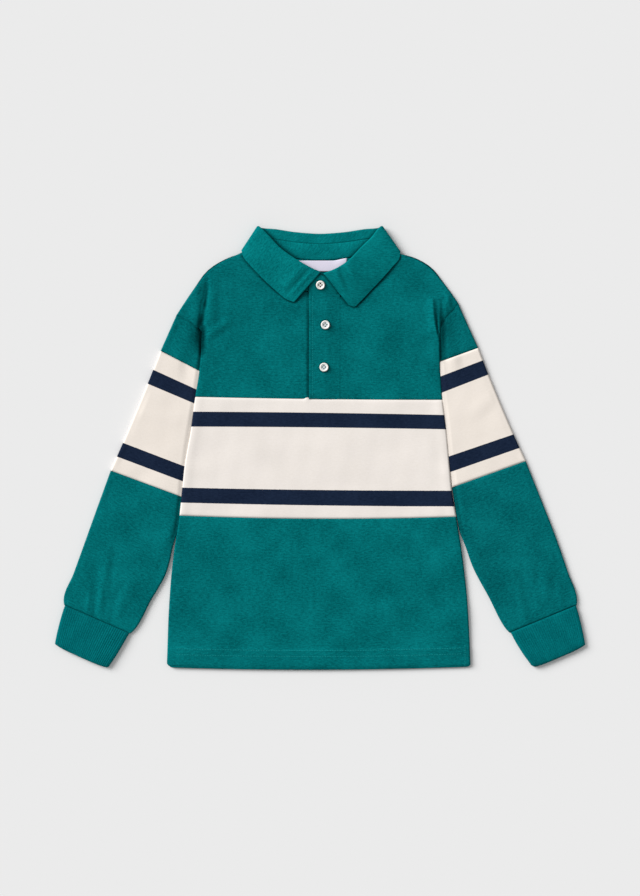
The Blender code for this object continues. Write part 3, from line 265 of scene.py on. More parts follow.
# button centres, from the collar down
BUTTONS = (Point(0.5, 178.4), Point(5.9, 134.6), Point(4.4, 88.1))
print("tables:", len(COLLAR), "stations round the neck,", len(FOLDS), "large folds,",
      len(BUTTONS), "buttons")

# %% [markdown]
# ## Curves
# A few points say where an edge is, and a curve that never overshoots them fills in the rest. A
# panel is a patch: the grid inside four such edges.

# %% Curves and patches
SEAM_HALF_WIDTH = 150.0     # where the seams' heights at the right and the left are listed


def knot_slopes(knots, values):
    """Slope at each knot: a mean of the chords beside it that never lets the curve overshoot."""
    span = np.diff(knots).reshape((-1,) + (1,) * (values.ndim - 1))
    chord = np.diff(values, axis=0) / span
    before, after = span[:-1] + 2 * span[1:], 2 * span[:-1] + span[1:]
    same_way = chord[:-1] * chord[1:] > 0
    first = np.where(same_way, chord[:-1], 1.0)
    second = np.where(same_way, chord[1:], 1.0)
    mean = (before + after) / (before / first + after / second)
    return np.concatenate([chord[:1], np.where(same_way, mean, 0.0), chord[-1:]])


def through(knots, values, at):
    """Smooth curve through the listed values."""
    knots, values, at = (np.asarray(a, float) for a in (knots, values, at))
    slope = knot_slopes(knots, values)
    i = np.clip(np.searchsorted(knots, at, side="right") - 1, 0, len(knots) - 2)
    span = knots[i + 1] - knots[i]
    t = (at - knots[i]) / span
    if values.ndim > 1:
        t, span = t[..., None], span[..., None]
    level = values[i] * (1 - t) ** 2 * (1 + 2 * t) + values[i + 1] * t ** 2 * (3 - 2 * t)
    return level + span * t * (1 - t) * (slope[i] * (1 - t) - slope[i + 1] * t)


def lengths(points):
    """How far along the line through the points each of them lies."""
    steps = np.linalg.norm(np.diff(points, axis=0), axis=1)
    return np.concatenate([[0.0], np.cumsum(steps)])


def along(points, fractions):
    """Points at the given fractions of a smooth curve through the listed ones."""
    points = np.asarray(points, float)
    knots = lengths(points)
    dense = through(knots, points, np.linspace(0, knots[-1], 12 * len(points)))
    place = lengths(dense)
    return np.stack([np.interp(np.asarray(fractions) * place[-1], place, dense[:, k])
                     for k in range(dense.shape[1])], axis=-1)


def joined(first, second, corner, fractions):
    """Points on two curves that meet at a corner, which is the given fraction along."""
    fractions = np.asarray(fractions)
    on_first = along(first, np.clip(fractions / corner, 0, 1))
    on_second = along(second, np.clip((fractions - corner) / (1 - corner), 0, 1))
    return np.where((fractions <= corner)[..., None], on_first, on_second)


def patch(bottom, top, left, right, across, upward):
    """Grid of points inside four edges, which are functions of the share along them.

    It is the sum of the two surfaces ruled between opposite edges, less the one ruled
    between the corners. across and upward are the shares of every point of the grid.
    """
    u, v = across[..., None], upward[..., None]
    ruled = (1 - v) * bottom(across) + v * top(across) + (1 - u) * left(upward) + u * right(upward)
    start, end = bottom(np.array([0.0, 1.0]))
    first, last = top(np.array([0.0, 1.0]))
    low = (1 - u) * start + u * end
    high = (1 - u) * first + u * last
    return ruled - (1 - v) * low - v * high


def smooth_step(value, start, end):
    """0 before start, 1 after end, and an S between them."""
    t = np.clip((value - start) / (end - start), 0, 1)
    return t * t * (3 - 2 * t)


def side_x(edges, y):
    """Where a side seam is at height y."""
    rising = sorted(edges)
    return through([e.y for e in rising], [e.x for e in rising], y)


def side_line(edges, low_y, high_y, inset=0.0):
    """The side seam between two heights, as points."""
    y = np.linspace(low_y, high_y, 14)
    return np.stack([side_x(edges, y) + inset, y], axis=1)


def seam_y(seam, x):
    """Height of a seam across the body: a parabola through its three heights."""
    t = np.asarray(x) / SEAM_HALF_WIDTH
    bow = (seam.right + seam.left) / 2 - seam.middle
    return seam.middle + (seam.left - seam.right) / 2 * t + bow * t * t


def neckline_y(neckline, x):
    """Height of a neckline at x."""
    return through([p.x for p in neckline], [p.y for p in neckline], x)


widths = [side_x(LEFT_SIDE, y) - side_x(RIGHT_SIDE, y) for y in (CREAM_TOP.middle, HEM.right)]
print("body: {:.0f} mm wide at the cream's top and {:.0f} at the hem".format(*widths))

# %% [markdown]
# ## How high the cloth lies
# The back lies on the table, and the front on the back, about 4 mm up. Folds are swells round
# their own lines, from the solids' table and a second one of small creases, most of which show
# in the photo. Broad, shallow waves keep the rest from being flat. Sewn seams dip, and so does
# the cloth under the edges of the collar's leaves.

# %% Creases and waves
# the fourth nearly levels the second of FOLDS
CREASES = (
    Fold(-123.6, 184.0, -126.6, 160.0, 2.2, -1.8),
    Fold(-127.2, 160.0, -133.0, 114.0, 2.8, -2.4),
    Fold(-126.2, 188.0, -135.0, 169.0, 1.2, 1.4),
    Fold(-135.0, 182.0, -139.0, 148.0, 5.5, -2.5),
    Fold(-123.0, 122.0, -104.0, 136.0, 5.5, 0.5),
    Fold(123.4, 162.0, 125.0, 142.0, 1.6, 1.6),
    Fold(125.0, 142.0, 129.6, 118.0, 1.6, 1.6),
    Fold(126.6, 151.0, 129.6, 126.0, 1.1, -1.9),
    Fold(131.0, 160.0, 130.9, 130.0, 2.0, 1.3),
    Fold(135.4, 163.0, 134.0, 130.0, 1.9, -1.6),
    Fold(139.7, 168.0, 144.0, 151.0, 1.8, 0.9),
    Fold(-148.0, 158.0, -143.0, 138.0, 4.0, -0.8),
    Fold(-112.0, 196.0, -116.0, 150.0, 5.0, -0.4),
    Fold(-108.0, 150.0, -96.0, 104.0, 10.0, 0.5),
    Fold(112.0, 170.0, 116.0, 132.0, 6.0, -0.5),
    Fold(106.0, 120.0, 92.0, 88.0, 10.0, 0.5),
    Fold(-60.0, 150.0, -52.0, 92.0, 12.0, 0.4),
    Fold(58.0, 140.0, 70.0, 84.0, 12.0, 0.4),
    Fold(-30.0, 140.0, -26.0, 70.0, 9.0, -0.3),
    Fold(-150.0, -20.0, -120.0, -26.0, 7.0, 0.4),
    Fold(146.0, -30.0, 110.0, -20.0, 7.0, 0.4),
    Fold(-90.0, 30.0, -40.0, 4.0, 14.0, -0.4),
    Fold(30.0, -20.0, 96.0, -52.0, 15.0, 0.4),
    Fold(-20.0, -100.0, 20.0, -150.0, 16.0, -0.4),
    Fold(-130.0, -110.0, -90.0, -140.0, 13.0, 0.4),
    Fold(90.0, -110.0, 134.0, -128.0, 12.0, -0.4),
    Fold(-40.0, -186.0, 40.0, -200.0, 13.0, 0.4))
SLEEVE_CREASES = (
    Fold(-160.0, 132.0, -140.0, 112.0, 4.0, -0.7),
    Fold(-196.0, 40.0, -160.0, 30.0, 7.0, 0.5),
    Fold(-180.0, -20.0, -210.0, -44.0, 8.0, -0.5),
    Fold(-238.0, -80.0, -200.0, -110.0, 9.0, 0.6),
    Fold(-226.0, -118.0, -232.0, -150.0, 4.0, -0.7),
    Fold(-252.0, -150.0, -256.0, -182.0, 2.2, 0.8),
    Fold(-246.0, -160.0, -248.0, -186.0, 2.0, -0.9),
    Fold(-240.0, -152.0, -241.0, -188.0, 2.4, 0.9),
    Fold(-222.0, -160.0, -230.0, -194.0, 3.0, -0.5),
    Fold(196.0, 60.0, 166.0, 36.0, 7.0, 0.5),
    Fold(176.0, -20.0, 214.0, -34.0, 8.0, -0.5),
    Fold(236.0, -84.0, 196.0, -96.0, 9.0, 0.6),
    Fold(238.0, -130.0, 246.0, -176.0, 4.0, -0.6),
    Fold(218.0, -150.0, 226.0, -190.0, 4.0, 0.6),
    Fold(262.0, -140.0, 266.0, -178.0, 3.0, 0.5))
FOLD_FOOT = 1.8                 # where a fold's swell has run out, in half widths
SIDE_RISE = 0.5                 # how much higher the body's sides stand, on the sleeves
TUCKED_UNDER = 2.6              # how far a sleeve's edge lies under the side of the body
Wave = namedtuple("Wave", "length angle start height")
WAVES = (
    Wave(96.0, 12.0, 0.4, 0.22), Wave(71.0, 76.0, 1.9, 0.18), Wave(58.0, 131.0, 3.0, 0.15),
    Wave(43.0, 38.0, 5.1, 0.10), Wave(31.0, 104.0, 0.8, 0.07), Wave(22.0, 160.0, 2.2, 0.045))


def swells(x, y, folds):
    """Sum of folds: each a cosine swell across its line, fading out past its two ends."""
    total = np.zeros(np.broadcast(x, y).shape)
    for fold in folds:
        run = np.array([fold.x1 - fold.x0, fold.y1 - fold.y0])
        t = ((x - fold.x0) * run[0] + (y - fold.y0) * run[1]) / (run @ run)
        t = np.clip(t, 0, 1)
        off = np.hypot(x - fold.x0 - t * run[0], y - fold.y0 - t * run[1])
        fade = 0.55 + 0.45 * np.sin(np.pi * t)
        out = np.clip(off / (FOLD_FOOT * fold.half_width), 0, 1)
        total += fold.height * fade * np.cos(np.pi / 2 * out) ** 2
    return total


def waves(x, y):
    """Broad shallow waves: sines across the cloth in six directions, bent so none is straight."""
    bent_x = x + 9.0 * np.sin(y / 47.0)
    bent_y = y + 8.0 * np.sin(x / 53.0)
    total = 0.0
    for wave in WAVES:
        turn = np.radians(wave.angle)
        way = bent_x * np.cos(turn) + bent_y * np.sin(turn)
        total = total + wave.height * np.sin(2 * np.pi * way / wave.length + wave.start)
    return total


def neck_rise(x, y):
    """How far the back, and all on it, is lifted by the collar fall that lies under it."""
    fall_edge = FALL_UNDER.middle + (FALL_UNDER.side - FALL_UNDER.middle) * (x / FALL_UNDER.x) ** 2
    return (CLOTH + SEAM_GAP) * smooth_step(y, fall_edge - 22.0, fall_edge - 4.0)


# how deep a sewn or pressed line sinks into the cloth, and how wide it is
SEAM_DIP, SEAM_DIP_WIDTH = 0.45, 1.3
OPENING_DIP, OPENING_DIP_WIDTH = 1.5, 1.1
LEAF_DIP, LEAF_DIP_WIDTH = 1.6, 1.5
SQUEEZE = 0.7                   # how much nearer to the back the front comes in a deep line


def groove(distance, depth, width):
    """The dip of a sewn seam, at a distance to either side of it."""
    return -depth * np.exp(-(distance / width) ** 2)


def back_height(x, y):
    """Upper face of the back."""
    return CLOTH + neck_rise(x, y)


def beside_sleeve(y):
    """1 where a sleeve lies under the side of the body, 0 below and above that."""
    return (1 - smooth_step(y, 108.0, 124.0)) * smooth_step(y, -122.0, -96.0)


def side_rise(x, y):
    """The body's sides lie on the sleeves, so they stand a little higher than the rest."""
    from_side = np.minimum(x - side_x(RIGHT_SIDE, np.clip(y, -243.0, 124.5)),
                           side_x(LEFT_SIDE, np.clip(y, -243.0, 129.3)) - x)
    return SIDE_RISE * np.exp(-((from_side - 4.5) / 5.0) ** 2) * beside_sleeve(y)


# the leaves' front and lower edges, which press a line into what they lie on
LEAF_EDGES = (np.array([(COLLAR[0].fold_x, COLLAR[0].fold_y)]
                       + [(s.edge_x, s.edge_y) for s in COLLAR if s.turn == 0]),
              np.array([(s.edge_x, s.edge_y) for s in COLLAR if s.turn == 360]
                       + [(COLLAR[-1].fold_x, COLLAR[-1].fold_y)]))


def distance_to(line, x, y):
    """Distance of points from a line of straight stretches."""
    nearest = np.full(np.broadcast(x, y).shape, 1e3)
    for (x0, y0), (x1, y1) in zip(line[:-1], line[1:]):
        run_x, run_y = x1 - x0, y1 - y0
        t = np.clip(((x - x0) * run_x + (y - y0) * run_y) / (run_x ** 2 + run_y ** 2), 0, 1)
        nearest = np.minimum(nearest, np.hypot(x - x0 - t * run_x, y - y0 - t * run_y))
    return nearest


# Narrow gaps come out paler in the render than in the photo, so shade is painted there: the cloth
# is darkened by a share of its own colour. It adds no form. These are the lines of the deepest
# gaps, with that share as height, and the shares of painted shade beside what lies on the cloth.
PAINTED_SHADE_FOLDS = (
    Fold(-123.6, 179.0, -126.6, 156.0, 1.9, 0.66),
    Fold(-126.6, 160.0, -131.0, 136.0, 2.0, 0.52),
    Fold(-131.0, 142.0, -134.0, 106.0, 4.0, 0.55),
    Fold(-137.0, 138.0, -141.0, 100.0, 6.0, 0.40),
    Fold(-127.4, 132.0, -129.6, 102.0, 2.5, 0.72),
    Fold(126.6, 148.0, 129.8, 122.0, 1.0, 0.50),
    Fold(135.6, 156.0, 134.4, 136.0, 2.4, 0.30),
    Fold(134.6, 142.0, 134.6, 96.0, 3.0, 0.60),
    Fold(141.0, 146.0, 141.0, 108.0, 6.0, 0.24))

LEAF_SHADE, LEAF_SHADE_WIDTH = 0.6, 1.2
PLACKET_SHADE, PLACKET_SHADE_WIDTH = 0.6, 0.9
BUTTON_SHADE, BUTTON_SHADE_WIDTH, BUTTON_SHADE_RADIUS = 0.5, 0.9, 5.3
MOST_SHADE = 0.8


def near(distance, width):
    """1 on a line, falling to 0 a little more than its width away."""
    return np.exp(-(distance / width) ** 2)


def crevice(x, y):
    """Share of its colour darkened as painted shade in folds and beside what lies on the cloth."""
    dark = swells(x, y, PAINTED_SHADE_FOLDS)
    beside_leaf = [near(distance_to(edge, x, y), LEAF_SHADE_WIDTH) for edge in LEAF_EDGES]
    dark = dark + LEAF_SHADE * np.max(beside_leaf, axis=0)
    from_rims = [np.hypot(x - centre.x, y - centre.y) - BUTTON_SHADE_RADIUS for centre in BUTTONS]
    dark = dark + sum(BUTTON_SHADE * near(off, BUTTON_SHADE_WIDTH) for off in from_rims)
    beside_placket = (y > seam_y(CREAM_TOP, x)) * (y < PLACKET_TOP)
    beside_placket = beside_placket * (1 - 0.5 * smooth_step(y, 144.0, 166.0))
    off_edge = near(x - PLACKET_RIGHT_EDGE + 0.1, PLACKET_SHADE_WIDTH)
    dark = dark + PLACKET_SHADE * off_edge * beside_placket
    return np.clip(dark, 0, MOST_SHADE)


def front_height(x, y):
    """Upper face of the front: never nearer than a hair to the back that it lies on."""
    lowest = back_height(x, y) + SEAM_GAP + CLOTH
    relief = swells(x, y, FOLDS) + swells(x, y, CREASES) + waves(x, y) + side_rise(x, y)
    raised = LAID_HEIGHT + neck_rise(x, y) + relief
    seams = sum(groove(y - seam_y(seam, x), SEAM_DIP, SEAM_DIP_WIDTH)
                for seam in (CREAM_TOP, CREAM_BOTTOM))
    opening = groove(x - PLACKET_RIGHT_EDGE + 0.4, OPENING_DIP, OPENING_DIP_WIDTH)
    opening = opening * (y > seam_y(CREAM_TOP, x))
    under_leaf = sum(groove(distance_to(edge, x, y), LEAF_DIP, LEAF_DIP_WIDTH)
                     for edge in LEAF_EDGES)
    return np.maximum(raised + seams + opening + under_leaf, lowest - SQUEEZE)


print("front:", round(float(front_height(0.0, 0.0)), 1), "mm up in the middle of the body")

# %% [markdown]
# ## From points to cloth
# Every piece of cloth is an open grid of points, its outer face, given the jersey's thickness by a
# Solidify modifier. The grid's own UV map, in metres along the cloth, carries the knit and the
# stripes, so that they follow the cloth round a sleeve and over a fold.

# %% Cloth helper
SHOWN_CLOTH = 1.0               # thickness of a jersey wall


def grid_faces(rows, columns, closed=False, flip=False, first=0):
    """Quads of a grid of points numbered row by row from first."""
    r, c = np.meshgrid(np.arange(rows - 1), np.arange(columns if closed else columns - 1),
                       indexing="ij")
    beside = (c + 1) % columns
    corners = [r * columns + c, r * columns + beside, (r + 1) * columns + beside,
               (r + 1) * columns + c]
    faces = np.stack([k.ravel() for k in corners], axis=1) + first
    return faces[:, ::-1] if flip else faces


def mesh_from(name, points, faces, corner_uv=None):
    """A smooth mesh from points in the tables' millimetres, with its own map if one is given."""
    mesh = bpy.data.meshes.new(name)
    faces = faces if isinstance(faces, list) else faces.tolist()
    mesh.from_pydata(((points.reshape(-1, 3) - ORIGIN) * MM).tolist(), [], faces)
    if corner_uv is not None:
        layer = mesh.uv_layers.new(name="cut")
        layer.data.foreach_set("uv", (corner_uv * MM).ravel())
    mesh.shade_smooth()
    made = bpy.data.objects.new(name, mesh)
    bpy.context.scene.collection.objects.link(made)
    return made


def dressed(made, finish, solid=None):
    """Give a piece its finish and its body, and hide the solid that it stands for."""
    made.data.materials.append(finish)
    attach(made, "root")
    if solid:
        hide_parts(solid)
    return made


sheets = {}                     # each cloth piece with its cut's width, length and area, in metres


def cut_size(points, closed):
    """Width, length and area of a grid's cloth laid out flat."""
    points = np.concatenate([points, points[:, :1]], axis=1) if closed else points
    width = np.linalg.norm(np.diff(points, axis=1), axis=2).sum(axis=1).max()
    length = np.linalg.norm(np.diff(points, axis=0), axis=2).sum(axis=0).max()
    one_way, other_way = points[1:, 1:] - points[:-1, :-1], points[1:, :-1] - points[:-1, 1:]
    area = np.linalg.norm(np.cross(one_way, other_way), axis=2).sum() / 2
    return width * MM, length * MM, area * MM ** 2


def cloth(name, points, cut, finish, closed=False, flip=False, thickness=SHOWN_CLOTH,
          dark=None):
    """A piece of cloth from its outer face, in place of the solid of that name.

    cut is each point's place on the flat cloth, and has a column more than points where the grid
    closes on itself. dark is each point's painted shade, as a share of its colour.
    """
    rows, columns = points.shape[:2]
    dark = crevice(points[..., 0], points[..., 1]) if dark is None else dark
    faces = grid_faces(rows, columns, closed, flip)
    corners = grid_faces(rows, cut.shape[1], flip=flip)
    made = mesh_from(name, points, faces, cut.reshape(-1, 2)[corners])
    painted_shade = made.data.attributes.new("crevice", "FLOAT", "POINT")
    painted_shade.data.foreach_set("value", np.clip(dark, 0, 0.85).ravel())
    wall = made.modifiers.new("Wall", "SOLIDIFY")
    wall.thickness = thickness * MM
    wall.offset = -1
    wall.use_rim = True
    sheets[name] = (made, *cut_size(points, closed))
    return dressed(made, finish, name)


print("walls:", SHOWN_CLOTH, "mm of jersey")

# %% [markdown]
# ## Finishes
# The green jersey is one saturated colour with almost no red in it and no shine: a fine knit,
# slightly mottled. The knit is a bump from the cloth's own map, too fine to model, and all that is
# larger is in the form. The shader's sums are written as plain expressions.

# %% Shader helper


class Wire:
    """One value in a material's node tree; + - * / make the nodes for the sum."""

    def __init__(self, tree, socket):
        self.tree = tree
        self.socket = socket

    def sum(self, operation, *others):
        return node(self.tree, "ShaderNodeMath", {"operation": operation}, self, *others)

    def __add__(self, other):
        return self.sum("ADD", other)

    __radd__ = __add__

    def __mul__(self, other):
        return self.sum("MULTIPLY", other)

    __rmul__ = __mul__

    def __sub__(self, other):
        return self.sum("SUBTRACT", other)

    def __rsub__(self, other):
        return node(self.tree, "ShaderNodeMath", {"operation": "SUBTRACT"}, other, self)

    def __truediv__(self, other):
        return self.sum("DIVIDE", other)


def feed(tree, socket, value):
    """Link a socket to a Wire, or set it to a plain value."""
    if isinstance(value, Wire):
        tree.links.new(value.socket, socket)
    else:
        socket.default_value = value


def node(tree, kind, settings, *values, output=0, **named):
    """A node with its settings made first, then its sockets in order or by name."""
    made = tree.nodes.new(kind)
    for name, value in settings.items():
        setattr(made, name, value)
    for socket, value in zip(made.inputs, values):
        feed(tree, socket, value)
    for name, value in named.items():
        feed(tree, made.inputs[name.replace("_", " ")], value)
    return Wire(tree, made.outputs[output])


def mix(tree, share, first, second):
    """Colour first where share is 0 and second where it is 1."""
    made = tree.nodes.new("ShaderNodeMix")
    made.data_type = "RGBA"
    for place, value in ((0, share), (6, first), (7, second)):
        feed(tree, made.inputs[place], value)
    return Wire(tree, made.outputs[2])


def srgb(red, green, blue):
    """A colour as a screen shows it (0 to 255), turned into linear light."""
    share = np.array([red, green, blue]) / 255
    linear = np.where(share <= 0.04045, share / 12.92, ((share + 0.055) / 1.055) ** 2.4)
    return (*linear, 1.0)


# %% [markdown]
# Jersey: rows of loops about 1 mm apart. The bump is one set of fine diagonal ripples along the
# cloth's own map, broken up by noise, and the colour drifts a little from place to place.

# %% Jersey and stripes
STRIPE_SOFT = 0.35              # mm over which a knitted stripe begins
STREAKS, FLECKS, DRIFT = 1.6, 1.4, 1.1      # how strongly the colour varies at each size


def jersey(name, colour, light, bump=0.16, stripes=()):
    """Matt knitted cloth. light is the colour it drifts towards, stripes are bands of the cloth's
    own length in a second colour, as (start, end) in millimetres, with that colour last."""
    def noise(where, scale, **more):
        return node(tree, "ShaderNodeTexNoise", {}, Vector=where, Scale=scale, Detail=2.0, **more)

    def clamped(value, added):
        return node(tree, "ShaderNodeMath", {"operation": "ADD", "use_clamp": True}, value, added)

    finish = bpy.data.materials.new(name)
    finish.use_nodes = True
    tree = finish.node_tree
    shader = tree.nodes["Principled BSDF"]
    place = node(tree, "ShaderNodeUVMap", {"uv_map": "cut"})
    stretched = node(tree, "ShaderNodeVectorMath", {"operation": "SCALE"}, place, Scale=1000.0)
    rows = node(tree, "ShaderNodeVectorMath", {"operation": "MULTIPLY"}, stretched,
                (0.4, 1.0, 1.0))
    streaks = noise(rows, 0.6, Roughness=0.6)
    fine = noise(stretched, 0.75, Roughness=0.6)
    broad = noise(stretched, 0.03)
    drift = (streaks - 0.5) * STREAKS + (fine - 0.5) * FLECKS + (broad - 0.5) * DRIFT
    share = clamped(drift, 0.5)
    base = mix(tree, share, colour, light)
    if stripes:
        across = node(tree, "ShaderNodeSeparateXYZ", {}, stretched, output=1)
        across = across + (fine - 0.5) * 0.6
        band = 0.0
        for start, end in stripes[:-1]:
            off = (across - (start + end) / 2).sum("ABSOLUTE")
            inside = ((end - start) / 2 - off) / STRIPE_SOFT + 0.5
            band = clamped(inside, 0.0) + band
        base = mix(tree, band, base, mix(tree, share, *stripes[-1]))
    # painted shade: the base colour is darkened by each point's share from the mesh
    painted_shade = node(tree, "ShaderNodeAttribute", {"attribute_name": "crevice"}, output="Fac")
    base = node(tree, "ShaderNodeVectorMath", {"operation": "SCALE"}, base, Scale=1 - painted_shade)
    tree.links.new(base.socket, shader.inputs["Base Color"])
    loops = node(tree, "ShaderNodeTexWave", {"wave_type": "BANDS", "bands_direction": "DIAGONAL"},
                 Vector=stretched, Scale=0.9, Distortion=3.0, Detail=2.0, Detail_Scale=1.0)
    relief = loops * 0.5 + fine
    normal = node(tree, "ShaderNodeBump", {}, Strength=bump, Distance=0.0006, Height=relief)
    tree.links.new(normal.socket, shader.inputs["Normal"])
    shader.inputs["Roughness"].default_value = 0.9
    shader.inputs["Specular IOR Level"].default_value = 0.0
    return finish


NAVY = (srgb(20, 30, 49), srgb(31, 43, 65))
green = jersey("green_jersey", srgb(1, 81, 84), srgb(7, 121, 124))
# the left sleeve is painted a little darker, for the shade it lies in beside the body
green_left_shaded = jersey("green_jersey_left_sleeve_shaded", srgb(1, 77, 81), srgb(8, 118, 121))
# the collar is painted lighter than the body's green, against the shade on its sloping leaves
collar_green = jersey("green_collar", srgb(1, 90, 93), srgb(8, 132, 134))
rib_green = jersey("green_rib", srgb(1, 82, 87), srgb(6, 116, 120), bump=0.1)
STRIPE_LINES = (0.0, 15.0, 31.0, 100.0, 116.0, 131.0)    # along the cloth, from the lower seam
BANDS = ((15.0, 31.0), (100.0, 116.0), NAVY)
striped = jersey("striped_jersey", srgb(230, 223, 216), srgb(236, 229, 223), stripes=BANDS)
striped_sleeves = jersey("striped_jersey_sleeves", srgb(231, 222, 212), srgb(236, 227, 218),
                         stripes=BANDS)
print("finishes:", ", ".join(finish.name for finish in (green, green_left_shaded, collar_green,
                                                        rib_green, striped, striped_sleeves)))

# %% [markdown]
# ## Body
# Three blocks behind and four in front: the green upper body is cut in two fronts, with the
# placket between them. The front's sides curve down round the back to the table, as a tube does
# when it is pressed flat.

# %% Body panels
ROLL_IN = np.linspace(0, 1, 9) ** 1.7
ROLL_FULLNESS = 2.6             # of the oval that an edge curves down in
EDGE_FOOT = 0.12                # the outer face's lowest point
STEP = 2.2                      # spacing of the cloth's grid
FINE_STEP = 1.1                 # and where there are sharp creases
NECK_CORNER = 0.56              # shares of the upper body's edges: the neck point along the top
UNDERARM = 0.64                 # and the underarm up the side
NECK_FADE_FROM, NECK_FADE_TO = 0.35, 0.54   # the shoulder's roll fades out between these shares
BACK_NECK_CORNER = 0.27         # the neck point along the top of the back
# painted shade: shares of its colour by which the green cloth is darkened along the shoulder
# seam, at the armhole, and where a sleeve runs on under it
SHOULDER_SHADE, ARMHOLE_SHADE, TURNED_UNDER_SHADE = 0.6, 0.24, 0.3
ARMHOLE_DIP = 0.5
# how wide, high and full the cream cloth peaks up beside the placket's edge
PEAK_WIDTH, PEAK_RISE, PEAK_LIFT = 2.4, 1.9, 0.5


def roll_height(share):
    """Height of a rolled edge, as a share, at a share of its width: a full quarter oval."""
    return (1 - (1 - np.clip(share, 0, 1)) ** ROLL_FULLNESS) ** (1 / ROLL_FULLNESS)


def roll_start(edge_height):
    """The share of its width at which a rolled edge has the given height."""
    return 1 - (1 - edge_height ** ROLL_FULLNESS) ** (1 / ROLL_FULLNESS)


def lowered(z, floor, inside, edge_height):
    """Height z curved down to floor at an edge; a roll that starts higher up is cut off there."""
    return floor + (z - floor) * roll_height(inside + roll_start(edge_height))


def evenly(start, end, spacing, size):
    """Shares from start (left out) to end, about the given spacing apart on cloth of that size."""
    count = max(2, round(abs(end - start) * size / spacing))
    return np.linspace(start, end, count + 1)[1:]


def shoulder_shade_line(x):
    """1 along the part of the shoulder seam where a line of shade is painted."""
    return smooth_step(np.abs(x), 82.0, 92.0) * (1 - smooth_step(np.abs(x), 126.0, 142.0))


def upper_front(name, side, armhole, shoulder, placket_x):
    """One green front: side and armhole seams, shoulder, half the neckline and placket."""
    sign = -1 if armhole[0].x < 0 else 1
    width, height = abs(side[0].x - placket_x), shoulder[-1].y - CREAM_TOP.middle
    neck_corner, underarm = NECK_CORNER, UNDERARM
    rolls = len(ROLL_IN)
    in_roll = EDGE_ROLL / width * ROLL_IN
    plain = np.linspace(0, EDGE_ROLL * 3 / width, rolls)
    inner = np.concatenate([evenly(plain[-1], neck_corner, FINE_STEP, width),
                            evenly(neck_corner, 1, FINE_STEP, width)])
    under = underarm - 0.12
    upward = np.concatenate([[0.0], evenly(0, under, FINE_STEP, height),
                             evenly(under, underarm, FINE_STEP, height),
                             evenly(underarm, 1 - SHOULDER_ROLL * 3 / height, FINE_STEP, height)])
    in_shoulder = 1 - SHOULDER_ROLL / height * ROLL_IN[::-1]
    to_neck = np.linspace(1 - SHOULDER_ROLL * 3 / height, 1, rolls + 1)[1:]
    rows, columns = len(upward) + rolls, rolls + len(inner)

    edge_height = smooth_step(upward, under, underarm)
    edge_height = np.concatenate([edge_height, np.ones(rolls)])[:, None]
    across = np.empty((rows, columns))
    across[:, :rolls] = in_roll + (plain - in_roll) * edge_height
    across[:, rolls:] = inner
    at_neck = smooth_step(across[-1], NECK_FADE_FROM, NECK_FADE_TO)
    heights = np.empty((rows, columns))
    heights[:-rolls] = upward[:, None]
    heights[-rolls:] = in_shoulder[:, None] + (to_neck - in_shoulder)[:, None] * at_neck

    edge_x = np.linspace(shoulder[-1].x, placket_x, 40)
    neckline = np.stack([edge_x, neckline_y(FRONT_NECKLINE, edge_x)], axis=1)
    start_x = side_x(side, CREAM_TOP.middle)
    seam_x = np.linspace(start_x, placket_x, 30)
    seam = np.stack([seam_x, seam_y(CREAM_TOP, seam_x)], axis=1)
    plan = patch(lambda share: along(seam, share),
                 lambda share: joined(shoulder, neckline, neck_corner, share),
                 lambda share: joined(side_line(side, seam[0, 1], armhole[0].y), armhole,
                                      underarm, share),
                 lambda share: seam[-1] + share[..., None] * (neckline[-1] - seam[-1]),
                 across, heights)
    x, y = plan[..., 0], plan[..., 1]
    z = front_height(x, y)
    z = lowered(z, EDGE_FOOT, across * width / EDGE_ROLL, edge_height)
    armhole_off = across * width + 60 * (1 - smooth_step(heights, underarm - 0.06, underarm))
    z = z + groove(armhole_off, ARMHOLE_DIP, SEAM_DIP_WIDTH)
    from_shoulder = (1 - heights) * height / SHOULDER_ROLL
    on_back = back_height(x, y + SHOULDER_ROLL) + 2 * SEAM_GAP
    z = np.where(edge_height < 1, z, lowered(z, on_back, from_shoulder, at_neck[None, :]))
    # painted shade along the armhole seam, and as a line along the shoulder seam
    dark = crevice(x, y) + ARMHOLE_SHADE * near(armhole_off, 1.0)
    edge = 1 - smooth_step(from_shoulder, 0.05, 0.5)
    dark = dark + (SHOULDER_SHADE * edge * (1 - at_neck[None, :]) * (edge_height == 1)
                   * shoulder_shade_line(x))
    points = np.stack([x, y, z, dark], axis=2)
    points = points if sign < 0 else points[:, ::-1]
    return cloth(name, points[..., :3], points[..., :2], green,
                 dark=points[..., 3])


def block_patch(low_seam, high_seam, across, upward, inset=0.0):
    """Plan of a block of the body between two seams across it and the two side seams."""
    edges = []
    for seam in (low_seam, high_seam):
        ends = side_x(RIGHT_SIDE, seam.right) + inset, side_x(LEFT_SIDE, seam.left) - inset
        x = np.linspace(*ends, 60)
        edges.append(np.stack([x, seam_y(seam, x)], axis=1))
    low, high = edges
    sides = []
    for side, end, pull in ((RIGHT_SIDE, 0, inset), (LEFT_SIDE, -1, -inset)):
        line = side_line(side, low[end, 1], high[end, 1], pull)
        line[0], line[-1] = low[end], high[end]
        sides.append(line)
    across, upward = np.broadcast_arrays(across[None, :], upward[:, None])
    return patch(lambda share: along(low, share), lambda share: along(high, share),
                 lambda share: along(sides[0], share), lambda share: along(sides[1], share),
                 across, upward)


def stripe_place(x, y):
    """How far along the knitted pattern a point of the cream block is: its lines are seams."""
    listed = np.stack([seam_y(line, x) for line in (CREAM_BOTTOM, *STRIPES, CREAM_TOP)])
    nominal = np.array(STRIPE_LINES)
    place = np.full(x.shape, nominal[0])
    for k in range(len(nominal) - 1):
        share = np.clip((y - listed[k]) / (listed[k + 1] - listed[k]), 0, 1)
        place = place + share * (nominal[k + 1] - nominal[k])
    return place


